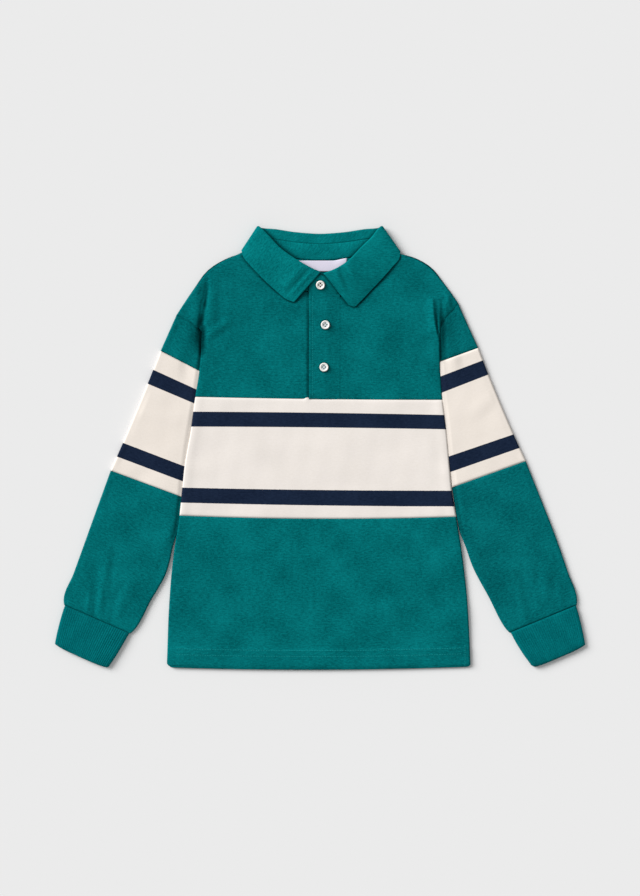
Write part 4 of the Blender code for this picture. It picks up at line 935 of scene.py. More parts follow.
def corner_rise(across, width, inset, from_hem):
    """How far a point near either corner of the hem is moved up, so that the corner is round."""
    corner = np.where(across < 0.5, HEM_CORNER_RIGHT, HEM_CORNER_LEFT)[None, :]
    from_side = np.minimum(across, 1 - across)[None, :] * width + inset
    along_hem = np.clip(1 - from_side / (1.5 * corner), 0, 1) ** 2
    return corner * along_hem * (1 - smooth_step(from_hem[:, None], 0.0, 4 * corner))


def body_block(name, low_seam, high_seam, finish, front=True, hem=False):
    """A block of the body from side to side. The front's edges roll down to the table."""
    width = 2 * side_x(LEFT_SIDE, low_seam.left)
    in_roll = EDGE_ROLL / width * ROLL_IN
    depth = high_seam.middle - low_seam.middle
    if front:
        inner = evenly(in_roll[-1], 1 - in_roll[-1], STEP, width)
        across = np.concatenate([in_roll, inner, 1 - in_roll[:-1][::-1]])
        upward = np.concatenate([[0.0], evenly(0, 1, STEP, depth)])
    else:
        corner = 2 * HEM_CORNER_RIGHT
        near_side = np.linspace(0, corner / width, 7)
        between = np.linspace(near_side[-1], 1 - near_side[-1], 40)[1:-1]
        across = np.concatenate([near_side, between, 1 - near_side[::-1]])
        upward = np.concatenate([np.linspace(0, 2 * corner / depth, 9)[:-1],
                                 np.linspace(2 * corner / depth, 1, 20)])
    if hem and front:
        step = HEM_DEPTH / depth
        curve_lines = HEM_CURVE_WIDTH / depth * np.linspace(0, 1, 9)
        upward = np.concatenate([curve_lines, evenly(curve_lines[-1], step - 0.004, 1.5, depth),
                                 [step, step + 0.006], evenly(step + 0.006, 1, STEP, depth)])
    inset = 0.0 if front else BACK_INSET
    plan = block_patch(low_seam, high_seam, across, upward, inset)
    if hem:
        plan[..., 1] += corner_rise(across, width, inset, upward * depth)
    x, y = plan[..., 0], plan[..., 1]
    if front:
        z = front_height(x, y)
        if hem:
            z = z + HEM_STEP * (1 - smooth_step(upward, step - 0.004, step + 0.004))[:, None]
            curve = np.sin(np.pi / 2 * np.clip(upward * depth / HEM_CURVE_WIDTH, 0, 1))[:, None]
            lowest = 2 * CLOTH + 2 * SEAM_GAP
            z = lowest + (z - lowest) * curve
        inside = np.minimum(across, 1 - across) * width / EDGE_ROLL
        z = lowered(z, EDGE_FOOT, inside[None, :], 0.0)
        if finish is striped:
            peak = near(x - PLACKET_RIGHT_EDGE + 1.5, PEAK_WIDTH)
            peak = peak * smooth_step(upward, 0.97, 1.0)[:, None]
            y, z = y + PEAK_RISE * peak, z + PEAK_LIFT * peak
    else:
        z = back_height(x, y)
    place = stripe_place(x, y) if finish is striped else y
    return cloth(name, np.stack([x, y, z], axis=2), np.stack([x, place], axis=2), finish)


def upper_back(name):
    """The green back: flat, lifted at the neck by the collar fall under it."""
    underarm, neck = UNDERARM, BACK_NECK_CORNER
    on_shoulder = neck * np.concatenate([np.linspace(0, BACK_SHOWS_TO, 14),
                                         np.linspace(BACK_SHOWS_TO, 1, 8)[1:]])
    across = np.concatenate([on_shoulder, np.linspace(neck, 1 - neck, 40)[1:-1],
                             1 - on_shoulder[::-1]])
    upward = np.concatenate([np.linspace(0, underarm, 20), np.linspace(underarm, 1, 32)[1:]])
    neck_x = np.linspace(BACK_NECKLINE[0].x, BACK_NECKLINE[-1].x, 40)
    neckline = np.stack([neck_x, neckline_y(BACK_NECKLINE, neck_x)], axis=1)

    def shoulder_line(shoulder):
        share = np.linspace(0, 1, 20)
        line = along(shoulder, share)
        to_collar = np.clip(share / BACK_SHOWS_TO, 0, 1)
        in_collar = np.clip((share - BACK_SHOWS_TO) / (1 - BACK_SHOWS_TO), 0, 1)
        line[:, 1] += BACK_SHOWS * np.sin(np.pi * to_collar) ** 0.5
        line[:, 1] -= BACK_TUCKS * np.sin(np.pi * in_collar) ** 0.5
        return line

    def top(share):
        first = joined(shoulder_line(RIGHT_SHOULDER), neckline, neck / (1 - neck),
                       np.clip(share / (1 - neck), 0, 1))
        last = along(shoulder_line(LEFT_SHOULDER)[::-1], np.clip((share - 1 + neck) / neck, 0, 1))
        return np.where((share <= 1 - neck)[..., None], first, last)

    def side(edges, armhole, pull):
        def line(share):
            low_y = CREAM_TOP.right if pull > 0 else CREAM_TOP.left
            points = joined(side_line(edges, low_y, armhole[0].y), armhole, underarm, share)
            points[..., 0] += pull * (1 - smooth_step(share, underarm + 0.01, underarm + 0.1))
            return points
        return line

    right = side(RIGHT_SIDE, RIGHT_ARMHOLE, BACK_INSET)
    left = side(LEFT_SIDE, LEFT_ARMHOLE, -BACK_INSET)
    seam_x = np.linspace(right(np.zeros(1))[0, 0], left(np.zeros(1))[0, 0], 40)
    seam = np.stack([seam_x, seam_y(CREAM_TOP, seam_x)], axis=1)
    across, upward = np.broadcast_arrays(across[None, :], upward[:, None])
    plan = patch(lambda share: along(seam, share), top, right, left, across, upward)
    plan[0, :, 1] = seam_y(CREAM_TOP, plan[0, :, 0])
    x, y = plan[..., 0], plan[..., 1]
    # painted shade as a line along the shoulder seam
    dark = SHOULDER_SHADE * smooth_step(upward, 0.965, 0.985) * shoulder_shade_line(x)
    points = np.stack([x, y, back_height(x, y)], axis=2)
    return cloth(name, points, plan, green, dark=dark)


front_right = PLACKET_RIGHT_EDGE + PLACKET_LAP
front_left = PLACKET_LEFT_EDGE - PLACKET_LAP
upper_back("back_upper")
body_block("back_middle", CREAM_BOTTOM, CREAM_TOP, striped, front=False)
body_block("back_lower", HEM, CREAM_BOTTOM, green, front=False, hem=True)
upper_front("front_upper_right", RIGHT_SIDE, RIGHT_ARMHOLE, RIGHT_SHOULDER, front_right)
upper_front("front_upper_left", LEFT_SIDE, LEFT_ARMHOLE, LEFT_SHOULDER, front_left)
body_block("front_middle", CREAM_BOTTOM, CREAM_TOP, striped)
body_block("front_lower", HEM, CREAM_BOTTOM, green, hem=True)
print("body:", ", ".join(sheets))

# %% [markdown]
# ## Sleeves and cuffs
# A sleeve is a tube pressed flat: an upper and an under side with rounded edges between. It is
# sewn from three bands, like the body, and its inner edge lies a little under the body's side.
# The cuff is a doubled rib, drawn in where it is sewn on, and its ribs run down the arm.

# %% Sleeves
EDGE_ARC = np.radians(np.linspace(0, 80, 7))
SLEEVE_RUNS_ON = 2.2            # how far its seam allowance runs on under the front's armhole
LEAST_SINE = 0.4                # of the angle at which a slanting section meets its edge
TOP_POINTS, BOTTOM_POINTS = 60, 12


def ring_profile(length, height, wall, top_points, bottom_points, stretch=(1.0, 1.0)):
    """Section of a flat tube, so far inside its outer face: distance across, and height."""
    middle, radius = height / 2, height / 2 - wall
    start, end = middle * stretch[0], length - middle * stretch[1]
    first, last = radius * stretch[0], radius * stretch[1]
    top = np.linspace(start, end, top_points)
    bottom = np.linspace(end, start, bottom_points)
    down = np.concatenate([EDGE_ARC[::-1], -EDGE_ARC[1:]])
    again = -EDGE_ARC[:0:-1]
    across = np.concatenate([start - first * np.cos(EDGE_ARC), top, end + last * np.cos(down),
                             bottom, start - first * np.cos(again)])
    up = np.concatenate([middle + radius * np.sin(EDGE_ARC), np.full(top_points, middle + radius),
                         middle + radius * np.sin(down), np.full(bottom_points, middle - radius),
                         middle + radius * np.sin(again)])
    return across, up


def slanting(listed):
    """For each section, how much wider its slant across either edge makes that edge's rounding."""
    section = listed[:, 2:] - listed[:, :2]
    section = section / np.linalg.norm(section, axis=1)[:, None]
    widths = []
    for edge in (listed[:, :2], listed[:, 2:]):
        run = np.gradient(edge, axis=0)
        run = run / np.linalg.norm(run, axis=1)[:, None]
        sine = np.abs(section[:, 0] * run[:, 1] - section[:, 1] * run[:, 0])
        widths.append(1 / np.maximum(sine, LEAST_SINE))
    return np.stack(widths, axis=1)


def sleeve(name, sections, side, finish, armhole=None, lines=None):
    """A stretch of sleeve: a flat tube beside the body.

    lines are the shares along it of the pattern's lines, in the cream block. armhole is the seam
    that the uppermost stretch begins at.
    """
    sign = np.sign(sections[0].outer_x)
    table = np.array(sections, float)
    knots = lengths((table[:, :2] + table[:, 2:]) / 2)
    rows = round(knots[-1] / STEP) + 1
    share_down = np.linspace(0, 1, rows)
    listed = through(knots, table, share_down * knots[-1])
    limit = side_x(side, np.clip(listed[:, 3], min(side).y, max(side).y)) + sign * TUCK_GAP
    listed[:, 2] = sign * np.maximum(sign * listed[:, 2], sign * limit)
    tucked = beside_sleeve(listed[:, 3] - 8.0)
    listed[:, 2] -= sign * TUCKED_UNDER * tucked
    lowest = 2 * CLOTH + 2 * SEAM_GAP
    # where the body lies on it, cream cloth is pressed less than green, with less painted shade
    press, under_body_shade = (0.45, 0.45) if lines is None else (0.25, 0.1)
    grid, cut, shade = [], [], []
    places = share_down * knots[-1]
    if lines is not None:
        places = np.interp(share_down, (0.0, *lines, 1.0), STRIPE_LINES[::-1])
    for k, (section, stretch) in enumerate(zip(listed, slanting(listed))):
        outer, inner = section[:2], section[2:]
        length = np.hypot(*(inner - outer))
        across, up = ring_profile(length, LAID_HEIGHT, 0.0, TOP_POINTS, BOTTOM_POINTS, stretch)
        share = (across / length)[:, None]
        plan = (1 - share) * outer + share * inner
        if armhole:
            straight = (1 - share) * np.array(armhole[-1]) + share * np.array(armhole[0])
            bow = along(armhole[::-1], share[:, 0]) - straight
            plan = plan + bow * (1 - share_down[k]) ** 2
        x, y = plan[:, 0], plan[:, 1]
        inside = np.minimum(across, length - across)
        flat_top = smooth_step(inside, LAID_HEIGHT / 2, LAID_HEIGHT / 2 + 6.0)
        relief = swells(x, y, FOLDS) + swells(x, y, SLEEVE_CREASES) + 0.8 * waves(x, y)
        from_ends = np.minimum(share_down[k], 1 - share_down[k]) * knots[-1]
        relief = relief * flat_top + groove(from_ends, SEAM_DIP, SEAM_DIP_WIDTH)
        up = np.where(up > LAID_HEIGHT - 1e-6, np.maximum(up + relief, lowest), up)
        pressed = tucked[k] * (1 - smooth_step(length - across, 1.0, 6.5))
        up = up * (1 - press * pressed)
        # painted shade where the sleeve's edge runs on under the side of the body
        dark = crevice(x, y) + under_body_shade * tucked[k] * near(length - across - TUCKED_UNDER - 0.4, 1.4)
        if armhole and k == 0:
            inwards = np.array([inner[1] - outer[1], outer[0] - inner[0]]) / length * sign
            under_front = 0.12 + 0.88 * smooth_step(share, 0.08, 0.28)
            plan = plan + inwards * SLEEVE_RUNS_ON * under_front
            under = np.concatenate([plan, up[:, None] * (1 - 0.3 * under_front)], axis=1)
            # more painted shade on the strip that runs on under the front's armhole
            shade.append(dark + TURNED_UNDER_SHADE)
            grid.append(under)
            cut.append(np.stack([lengths(np.concatenate([under, under[:1]])),
                                 np.full(len(under) + 1, -SLEEVE_RUNS_ON)], axis=1))
            dark = dark + ARMHOLE_SHADE
        shade.append(dark)
        grid.append(np.stack([x, y, up], axis=1))
        around = lengths(np.concatenate([grid[-1], grid[-1][:1]]))
        cut.append(np.stack([around, np.full(len(around), places[k])], axis=1))
    return cloth(name, np.array(grid), np.array(cut), finish, closed=True,
                 flip=sign < 0, dark=np.array(shade))


# %% Cuffs
RIB_POINTS = 6                  # across each rib
CUFF_ROWS, CUFF_BOTTOM_POINTS = 20, 60


def cuff(name, sleeve_end, sections):
    """A doubled rib cuff: rounded ribs on its outer wall, over a plain inside."""
    end = np.array(sleeve_end)
    across = (end[2:] - end[:2]) / np.hypot(*(end[2:] - end[:2]))
    onwards = np.array([across[1], -across[0]]) * np.sign(across[0])
    start = np.concatenate([end[:2] + CUFF_DRAWN_IN * across, end[2:] - CUFF_DRAWN_IN * across])
    table = np.concatenate([[start], np.array(sections, float)])
    knots = lengths((table[:, :2] + table[:, 2:]) / 2)
    at = np.linspace(0, knots[-1], CUFF_ROWS)
    listed = through(knots, table, at)
    heights = CUFF_HEIGHT * through(knots, CUFF_SWELL, at)
    top_points = RIB_POINTS * RIBS + 1
    rib_shows = 0.55 + 0.45 * smooth_step(np.linspace(0, 1, top_points), 0.45, 0.85)
    corner = CUFF_CORNER_RIGHT if across[0] > 0 else CUFF_CORNER_LEFT
    walls = []
    for wall in (0.0, RIB_CLOTH):
        grid = []
        for k, ((outer_x, outer_y, inner_x, inner_y), height) in enumerate(zip(listed, heights)):
            length = np.hypot(inner_x - outer_x, inner_y - outer_y)
            place, up = ring_profile(length, height, wall, top_points, CUFF_BOTTOM_POINTS)
            if wall == 0.0:
                crest = np.zeros(len(up))
                turn = 2 * np.pi * np.arange(top_points) / RIB_POINTS
                ends = min(at[k], at[-1] - at[k]) / 1.5
                height_here = RIB_HEIGHT * min(1.0, ends + 0.2) * rib_shows
                upper = slice(len(EDGE_ARC), len(EDGE_ARC) + top_points)
                crest[upper] = height_here * (1 - np.cos(turn)) / 2
                up = up + crest
            share = (place / length)[:, None]
            plan = (1 - share) * [outer_x, outer_y] + share * [inner_x, inner_y]
            down = at[k] / at[-1]
            plan = plan + onwards * CUFF_BOW * down ** 2 * (1 - (2 * share - 1) ** 4)
            rounded = np.clip(1 - (1 - share) * length / (1.6 * corner), 0, 1) ** 2
            plan = plan - onwards * corner * rounded * smooth_step(down, 0.6, 1.0)
            grid.append(np.concatenate([plan, up[:, None]], axis=1))
        walls.append(np.array(grid))
    outer, inner = walls
    rows, columns = outer.shape[:2]
    count = rows * columns
    here = np.arange(columns)
    beside = (here + 1) % columns
    last = (rows - 1) * columns
    ends = [np.stack([here, here + count, beside + count, beside], axis=1),
            np.stack([here, beside, beside + count, here + count], axis=1) + last]
    faces = np.concatenate([grid_faces(rows, columns, closed=True),
                            grid_faces(rows, columns, closed=True, flip=True, first=count), *ends])
    points = np.concatenate([outer.reshape(-1, 3), inner.reshape(-1, 3)])
    around = np.stack([np.broadcast_to(np.arange(columns) * 0.9, (rows, columns)),
                       np.broadcast_to(at[:, None], (rows, columns))], axis=2).reshape(-1, 2)
    around = np.concatenate([around, around])
    made = mesh_from(name, points, faces, around[faces])
    shape = bmesh.new()
    shape.from_mesh(made.data)
    bmesh.ops.recalc_face_normals(shape, faces=shape.faces)
    shape.to_mesh(made.data)
    shape.free()
    sheets[name] = (made, *cut_size(outer, closed=True))
    return dressed(made, rib_green, name)


# lines are the shares down the cream block of its navy stripes' edges
for side, edges, armhole, upper, middle, lower, wrist, dyed, lines in (
        ("right", RIGHT_SIDE, RIGHT_ARMHOLE, RIGHT_SLEEVE_UPPER, RIGHT_SLEEVE_MIDDLE,
         RIGHT_SLEEVE_LOWER, RIGHT_CUFF, green, (0.153, 0.266, 0.764, 0.881)),
        ("left", LEFT_SIDE, LEFT_ARMHOLE, LEFT_SLEEVE_UPPER, LEFT_SLEEVE_MIDDLE,
         LEFT_SLEEVE_LOWER, LEFT_CUFF, green_left_shaded, (0.111, 0.239, 0.757, 0.880))):
    sleeve(f"sleeve_{side}_upper", upper, edges, dyed, armhole)
    sleeve(f"sleeve_{side}_middle", middle, edges, striped_sleeves, lines=lines)
    sleeve(f"sleeve_{side}_lower", lower, edges, dyed)
    cuff(f"cuff_{side}", lower[-1], wrist)
print("with sleeves and cuffs:", len(sheets), "pieces of cloth")

# %% [markdown]
# ## Placket
# Two strips down the opening, one over the other, from the neck to the cream seam. The upper one
# laps to the wearer's right and is turned under along its edge.

# %% Placket
NECK_TUCK = 1.6                 # how far the placket goes up under the neckband's edge
LIP = 0.5                       # the ridge along its turned edge
EDGE_DROP = 0.9                 # how far that edge curves down


def placket_lift(x, y):
    """How far the over placket stands up from the front: least where it is sewn down."""
    from_side = smooth_step(PLACKET_LEFT_EDGE - x, 0.0, 18.0)
    from_seam = smooth_step(y - seam_y(CREAM_TOP, x), 0.0, 7.0)
    return 0.08 + (CLOTH + SEAM_GAP - 0.08) * from_side * (0.25 + 0.75 * from_seam)


def placket_bed(x, y):
    """What the plackets lie on: the front, without its deepest lines."""
    return np.maximum(front_height(x, y), LAID_HEIGHT - 0.6)


def placket_top(x, y):
    """Upper face of the over placket, away from its turned edge."""
    return placket_bed(x, y) + placket_lift(x, y)


def placket(name, x_start, x_end, over=False):
    """A strip from the cream seam to the neckline, moved out from the front it lies on."""
    size = x_end - x_start
    at_edge = np.linspace(0, 1.5, 5) / size
    share = np.concatenate([at_edge, evenly(1.5 / size, 1 - 1.5 / size, 1.0, size),
                            1 - np.linspace(1.5, 0, 5)[1:] / size])
    x = (x_start + share * size)[None, :]
    low, high = seam_y(CREAM_TOP, x), neckline_y(FRONT_NECKLINE, x) + NECK_TUCK
    y = low + np.linspace(0, 1, 116)[:, None] * (high - low)
    x = np.broadcast_to(x, y.shape)
    z = placket_bed(x, y)
    if over:
        lift = placket_lift(x, y) + LIP * near(x - x_start - 1.2, 1.4)
        z = z + (lift - EDGE_DROP * (1 - roll_height((x - x_start) / 1.2)))
    points = np.stack([x, y, z], axis=2)
    return cloth(name, points, points[..., :2], green)


placket("placket_under", front_right, front_left)
placket("placket_over", PLACKET_RIGHT_EDGE, PLACKET_LEFT_EDGE, over=True)
print("placket:", round(PLACKET_LEFT_EDGE - PLACKET_RIGHT_EDGE, 1), "mm wide")

# %% [markdown]
# ## Collar
# The collar stands up inside the neck, folds over its rolled edge and lies on the chest in two
# leaves. Behind, its fall lies under the back of the neck. It is one surface that runs from inside
# the neck over the fold to the leaf's edge, worked out at stations round the neck; the neckband is
# a second one below it.

# %% Collar
FOLD_ARC = np.radians(np.linspace(-90, 90, 13))
LEAF_CREASES = (
    Fold(-35.5, 170.5, -9.0, 199.0, 2.0, -0.8),
    Fold(-31.0, 168.0, -7.5, 194.0, 1.5, 0.7),
    Fold(-41.0, 174.5, -16.0, 202.0, 2.6, 0.5),
    Fold(20.4, 197.0, 30.0, 176.0, 2.0, -0.8),
    Fold(15.5, 194.0, 26.4, 173.5, 1.9, 0.7),
    Fold(27.4, 205.0, 40.0, 182.0, 3.2, 0.8),
    Fold(6.6, 187.6, 23.5, 168.0, 0.9, -0.9))
# painted shade: share of its colour by which the collar is darkened in its creases
LEAF_CREASE_SHADE = 0.25         # share of its colour that the collar loses in its creases
LEAF_SHARES = np.concatenate([np.linspace(0, 1, 36)[1:-1], [0.985, 0.993, 1.0]])
STAND_SHARES = np.linspace(0, 1, 16)
COLLAR_STEP = 1.3               # spacing of the rows round the neck
# the left end of the collar lies on the placket as well: it comes up to it between these
LAP_FULL_TO, LAP_STARTS_AT = 22.0, 38.0
LEAF_SHOWN = 1.6                # a doubled leaf's thickness at its turned edge
BAND_LAP = 2.4                  # how far the neckband laps down over the placket's upper end
BAND_LIFT = -0.2                # and how much closer it lies there
BAND_RISES_TO = 6.0             # how much further up it goes than the solid, between the leaves
BAND_SWELL = 1.1                # its fullness behind the neck


def neck_seam(x, front_share):
    """Where the stand meets the neckline, on its face towards the neck."""
    x = np.clip(x, FRONT_NECKLINE[0].x, FRONT_NECKLINE[-1].x)
    front_y = neckline_y(FRONT_NECKLINE, x) + STAND_CLEARANCE
    back_y = neckline_y(BACK_NECKLINE, x) + STAND_CLEARANCE / 2
    y = front_share * front_y + (1 - front_share) * back_y
    front_z = LAID_HEIGHT + neck_rise(x, y) - CLOTH
    z = front_share * front_z + (1 - front_share) * back_height(x, y)
    return y + NECK_LIFT * 4 * front_share * (1 - front_share), z


def collar_rows():
    """For each row round the neck: the rolled edge's arc, the leaf's points and the neck seam."""
    listed = np.array(COLLAR, float)
    points = listed[:, 1:7]
    knots = (lengths(points[:, :3]) + lengths(points[:, 3:])) / 2
    pieces = [np.linspace(a, b, max(3, round((b - a) / COLLAR_STEP)) + 1)[:-1]
              for a, b in zip(knots, knots[1:])]
    rows = []
    for row in through(knots, listed, np.concatenate([*pieces, knots[-1:]])):
        turn, fold, edge, bulge, neck_x = np.radians(row[0]), row[1:4], row[4:7], row[7], row[8]
        outward = (edge - fold) / np.linalg.norm(edge - fold)
        over = np.array([np.sin(turn) * outward[1], -np.sin(turn) * outward[0], np.cos(turn)])
        over = over - (over @ outward) * outward
        over = over / np.linalg.norm(over)
        centre = fold + FALL_RADIUS * outward
        arc = (centre - FALL_RADIUS * np.cos(FOLD_ARC)[:, None] * outward
               + FALL_RADIUS * np.sin(FOLD_ARC)[:, None] * over)
        share = LEAF_SHARES[:, None]
        leaf = (1 - share) * arc[-1] + share * edge + 4 * bulge * share * (1 - share) * over
        creased = swells(leaf[:, 0], leaf[:, 1], LEAF_CREASES)
        leaf[:, 2] += creased * np.sin(turn / 2 + np.pi / 2) ** 2
        front_share = (1 + np.cos(turn)) / 2
        neck_y, neck_z = neck_seam(neck_x, front_share)
        depth = front_share * FALL_STAND + (1 - front_share) * FALL_STAND_BEHIND
        if row[0] > 270:
            onto = 1 - smooth_step(neck_x, LAP_FULL_TO, LAP_STARTS_AT)
            neck_y, neck_z = neck_y - BAND_LAP * onto, neck_z + BAND_LIFT * onto
            neck_z = neck_z + placket_lift(neck_x, neck_y)
            depth = depth * (0.1 + 0.9 * smooth_step(neck_x, 4.4, 18.0))
        neck = np.array([neck_x, neck_y, neck_z])
        down = (neck - arc[0]) / np.linalg.norm(neck - arc[0])
        rows.append((arc, leaf, neck, depth * down, front_share))
    return rows


# the rolled edges of the two leaves, beside which shade is painted inside the neck
FOLD_LINES = [np.array([(s.fold_x, s.fold_y) for s in COLLAR if s.turn in turns])
              for turns in ((0, 45), (315, 360))]


def neck_painted_shade(x, y):
    """Painted shade inside the neck, close to the leaves' rolled edges."""
    return sum(0.6 * near(distance_to(line, x, y), 2.6) for line in FOLD_LINES)


def grid_cut(points):
    """A map for a sheet that isn't flat: how far along each row and column the points are."""
    along_rows = np.array([lengths(row) for row in points])
    down = np.array([lengths(column) for column in points.swapaxes(0, 1)]).T
    return np.stack([along_rows, down], axis=2)


def collar_fall(name, rows):
    """The collar's outer face, from inside the neck over the rolled edge to the leaf's edge."""
    grid, behind = [], []
    for arc, leaf, _, turned_down, front_share in rows:
        inside = arc[0] + turned_down * np.linspace(1, 0, 7)[:-1, None]
        grid.append(np.concatenate([inside, arc, leaf]))
        behind.append([1 - front_share])
    grid, behind = np.array(grid), np.array(behind)
    x, y = grid[..., 0], grid[..., 1]
    creased = np.clip(-swells(x, y, LEAF_CREASES), 0, 1)
    # painted shade inside the neck behind, and in the leaves' creases in front
    dark = behind * neck_painted_shade(x, y) + (1 - behind) * LEAF_CREASE_SHADE * creased
    return cloth(name, grid, grid_cut(grid), collar_green, flip=True,
                 thickness=LEAF_SHOWN, dark=dark)


def stand_end(end, lift):
    """Row of the stand past the fall: from its own upper edge to the neckline."""
    low_y, low_z = neck_seam(end.x, 1.0)
    top_y = end.top_y + BAND_RISES_TO * (1 - smooth_step(abs(end.x - 1.0), 3.0, 9.0))
    top_z = low_z + end.slope * (top_y - low_y)
    onto = 1.0 if lift else 0.0
    low = np.array([end.x, low_y - BAND_LAP * onto, low_z + lift + BAND_LIFT * onto])
    return np.array([end.x, top_y, top_z + lift]), low


def collar_stand(name, rows):
    """The neckband's face towards the neck, from its under end round to its over end."""
    pairs = [stand_end(end, 0.0) for end in UNDER_END]
    for arc, _, neck, turned_down, _ in rows:
        pairs.append((arc[0] + turned_down, neck))
    listed = through([e.x for e in OVER_END[::-1]], np.array(OVER_END[::-1], float),
                     np.linspace(OVER_END[-1].x, OVER_END[0].x, 10))[::-1]
    pairs += [stand_end(StandEnd(*end), CLOTH + SEAM_GAP) for end in listed]
    share = STAND_SHARES[:, None]
    grid = np.array([(1 - share) * top + share * low for top, low in pairs])
    behind = smooth_step(grid[..., 1], 196.0, 206.0)
    grid[..., 2] += BAND_SWELL * behind * np.sin(np.pi * share[None, :, 0]) ** 0.7
    x, y = grid[..., 0], grid[..., 1]
    return cloth(name, grid, grid_cut(grid), collar_green,
                 thickness=COLLAR_CLOTH, dark=crevice(x, y) + neck_painted_shade(x, y))


neck_rows = collar_rows()
collar_stand("collar_stand", neck_rows)
collar_fall("collar_fall", neck_rows)
print("collar:", len(neck_rows), "rows round the neck")

# %% [markdown]
# ## Label and buttons
# The woven label lies inside the back of the neck and is left blank. The buttons are turned, with
# a raised rim, a dished middle and four holes, and are sewn on with green thread.

# %% Label
LABEL_SHOWN = 0.5               # its thickness


def label(name, finish):
    """A blank woven label inside the back neck, one corner curling up."""
    x = np.linspace(LABEL_RIGHT, LABEL_LEFT, 40)[None, :]
    y = np.linspace(LABEL_SHOWN_BOTTOM, LABEL_TOP, 14)[:, None]
    x, y = np.broadcast_arrays(x, y)
    curl = (smooth_step(x, LABEL_LEFT - LABEL_CURL_WIDTH, LABEL_LEFT)
            * smooth_step(y, LABEL_TOP - LABEL_CURL_DEPTH, LABEL_TOP))
    z = back_height(x, y) + SEAM_GAP + LABEL_THICKNESS + LABEL_CURL * curl
    points = np.stack([x, y + LABEL_CURL * curl, z], axis=2)
    return cloth(name, points, points[..., :2], finish, thickness=LABEL_SHOWN)


def plain(name, colour, roughness, specular=0.3):
    """A finish of one colour."""
    finish = bpy.data.materials.new(name)
    finish.use_nodes = True
    shader = finish.node_tree.nodes["Principled BSDF"]
    shader.inputs["Base Color"].default_value = colour
    shader.inputs["Roughness"].default_value = roughness
    shader.inputs["Specular IOR Level"].default_value = specular
    return finish


woven = plain("label_cloth", srgb(222, 216, 232), 0.6, 0.1)
label("neck_label", woven)
print("label:", round(LABEL_LEFT - LABEL_RIGHT, 1), "mm wide, blank")

# %% Buttons
BUTTON_RADIUS = 4.9
AROUND = 64                     # points round it
# its outline from the middle out: radius, and height above its flat underside
BUTTON_PROFILE = np.array([(0.0, 1.75), (2.7, 1.75), (3.3, 2.15), (3.9, 2.6), (4.35, 2.5),
                           (4.65, 2.15), (4.85, 1.6), (BUTTON_RADIUS, 1.1)])
HOLE_CIRCLE, HOLE_RADIUS, HOLE_DEPTH = 1.75, 0.85, 1.3


def pearl_finish(name):
    """Pearly plastic, greyer in the dished middle, with the holes' thread painted dark as shade.
    """
    finish = plain(name, srgb(240, 238, 232), 0.3, 0.5)
    tree = finish.node_tree
    hole, dish = (node(tree, "ShaderNodeAttribute", {"attribute_name": kind}, output="Fac")
                  for kind in ("hole", "dish"))
    base = mix(tree, dish, srgb(242, 239, 233), srgb(196, 208, 210))
    base = mix(tree, hole, base, srgb(30, 58, 58))
    tree.links.new(base.socket, tree.nodes["Principled BSDF"].inputs["Base Color"])
    return finish


def button_seat(shown):
    """Where a CAD button's underside is, and which way its face points, in the tables' place."""
    at = np.empty(3 * len(shown.data.vertices))
    shown.data.vertices.foreach_get("co", at)
    matrix = np.array(shown.matrix_world)
    points = (at.reshape(-1, 3) @ matrix[:3, :3].T + matrix[:3, 3]) / MM + ORIGIN
    middle = (points.max(axis=0) + points.min(axis=0)) / 2
    out = np.linalg.svd(points - points.mean(axis=0), full_matrices=False)[2][-1]
    out = out * np.sign(out[2])
    return middle + out * ((points - middle) @ out).min(), out


def button(name, tint):
    """A turned button: flat underneath, with a raised rim, a dished middle and four holes."""
    seat, out = button_seat(frame["nodes"][name])
    radius = np.concatenate([np.linspace(0.15, 3.0, 20), np.linspace(3.15, BUTTON_RADIUS, 14)])
    height = through(BUTTON_PROFILE[:, 0], BUTTON_PROFILE[:, 1], radius)
    radius = np.concatenate([radius, [BUTTON_RADIUS, BUTTON_RADIUS - 0.3, 0.15]])[:, None]
    height = np.concatenate([height, [0.4, 0.0, 0.0]])[:, None]
    angle = np.linspace(0, 2 * np.pi, AROUND, endpoint=False)
    across, up = radius * np.cos(angle), radius * np.sin(angle)
    holes = HOLE_CIRCLE * np.array([(1, 0), (0, 1), (-1, 0), (0, -1)])
    from_hole = np.min([np.hypot(across - x, up - y) for x, y in holes], axis=0)
    in_hole = 1 - smooth_step(from_hole, HOLE_RADIUS - 0.2, HOLE_RADIUS + 0.1)
    in_hole[-3:] = 0
    height = height - HOLE_DEPTH * in_hole
    first = np.cross([0.0, 1.0, 0.0], out)
    first = first / np.linalg.norm(first)
    second = np.cross(out, first)
    points = seat + across[..., None] * first + up[..., None] * second + height[..., None] * out
    rings = len(radius)
    faces = grid_faces(rings, AROUND, closed=True).tolist()
    faces += [list(range(AROUND)), [rings * AROUND - 1 - k for k in range(AROUND)]]
    made = mesh_from(name, points, faces)
    in_dish = tint * (1 - smooth_step(radius, 2.4, 3.4)) + np.zeros(AROUND)
    # the holes' thread is painted dark as shade, less so on the two greyer buttons
    for kind, values in (("hole", in_hole * (1 - 0.7 * tint)), ("dish", in_dish)):
        layer = made.data.attributes.new(kind, "FLOAT", "POINT")
        layer.data.foreach_set("value", values.ravel())
    return dressed(made, pearl, name)


pearl = pearl_finish("button_pearl")
buttons = [button(f"button_{k}", tint) for k, tint in ((1, 0.0), (2, 0.8), (3, 0.9))]
print("buttons:", len(buttons), "of", 2 * BUTTON_RADIUS, "mm")

# %% [markdown]
# ## Sewing
# The hem is held by two rows of cover stitch and a short row up its left end, and the placket by a
# row near its edge. A stitch is a short thread sunk into the cloth at both ends. Each row is one
# mesh: a small thread shape repeated along its line, on the height of the cloth there.

# %% Stitches
THREAD = 0.5                    # mm thick
# the green thread is painted lighter than the cloth, for the highlights on it
thread_green = plain("thread_green", srgb(22, 142, 144), 0.7, 0.1)


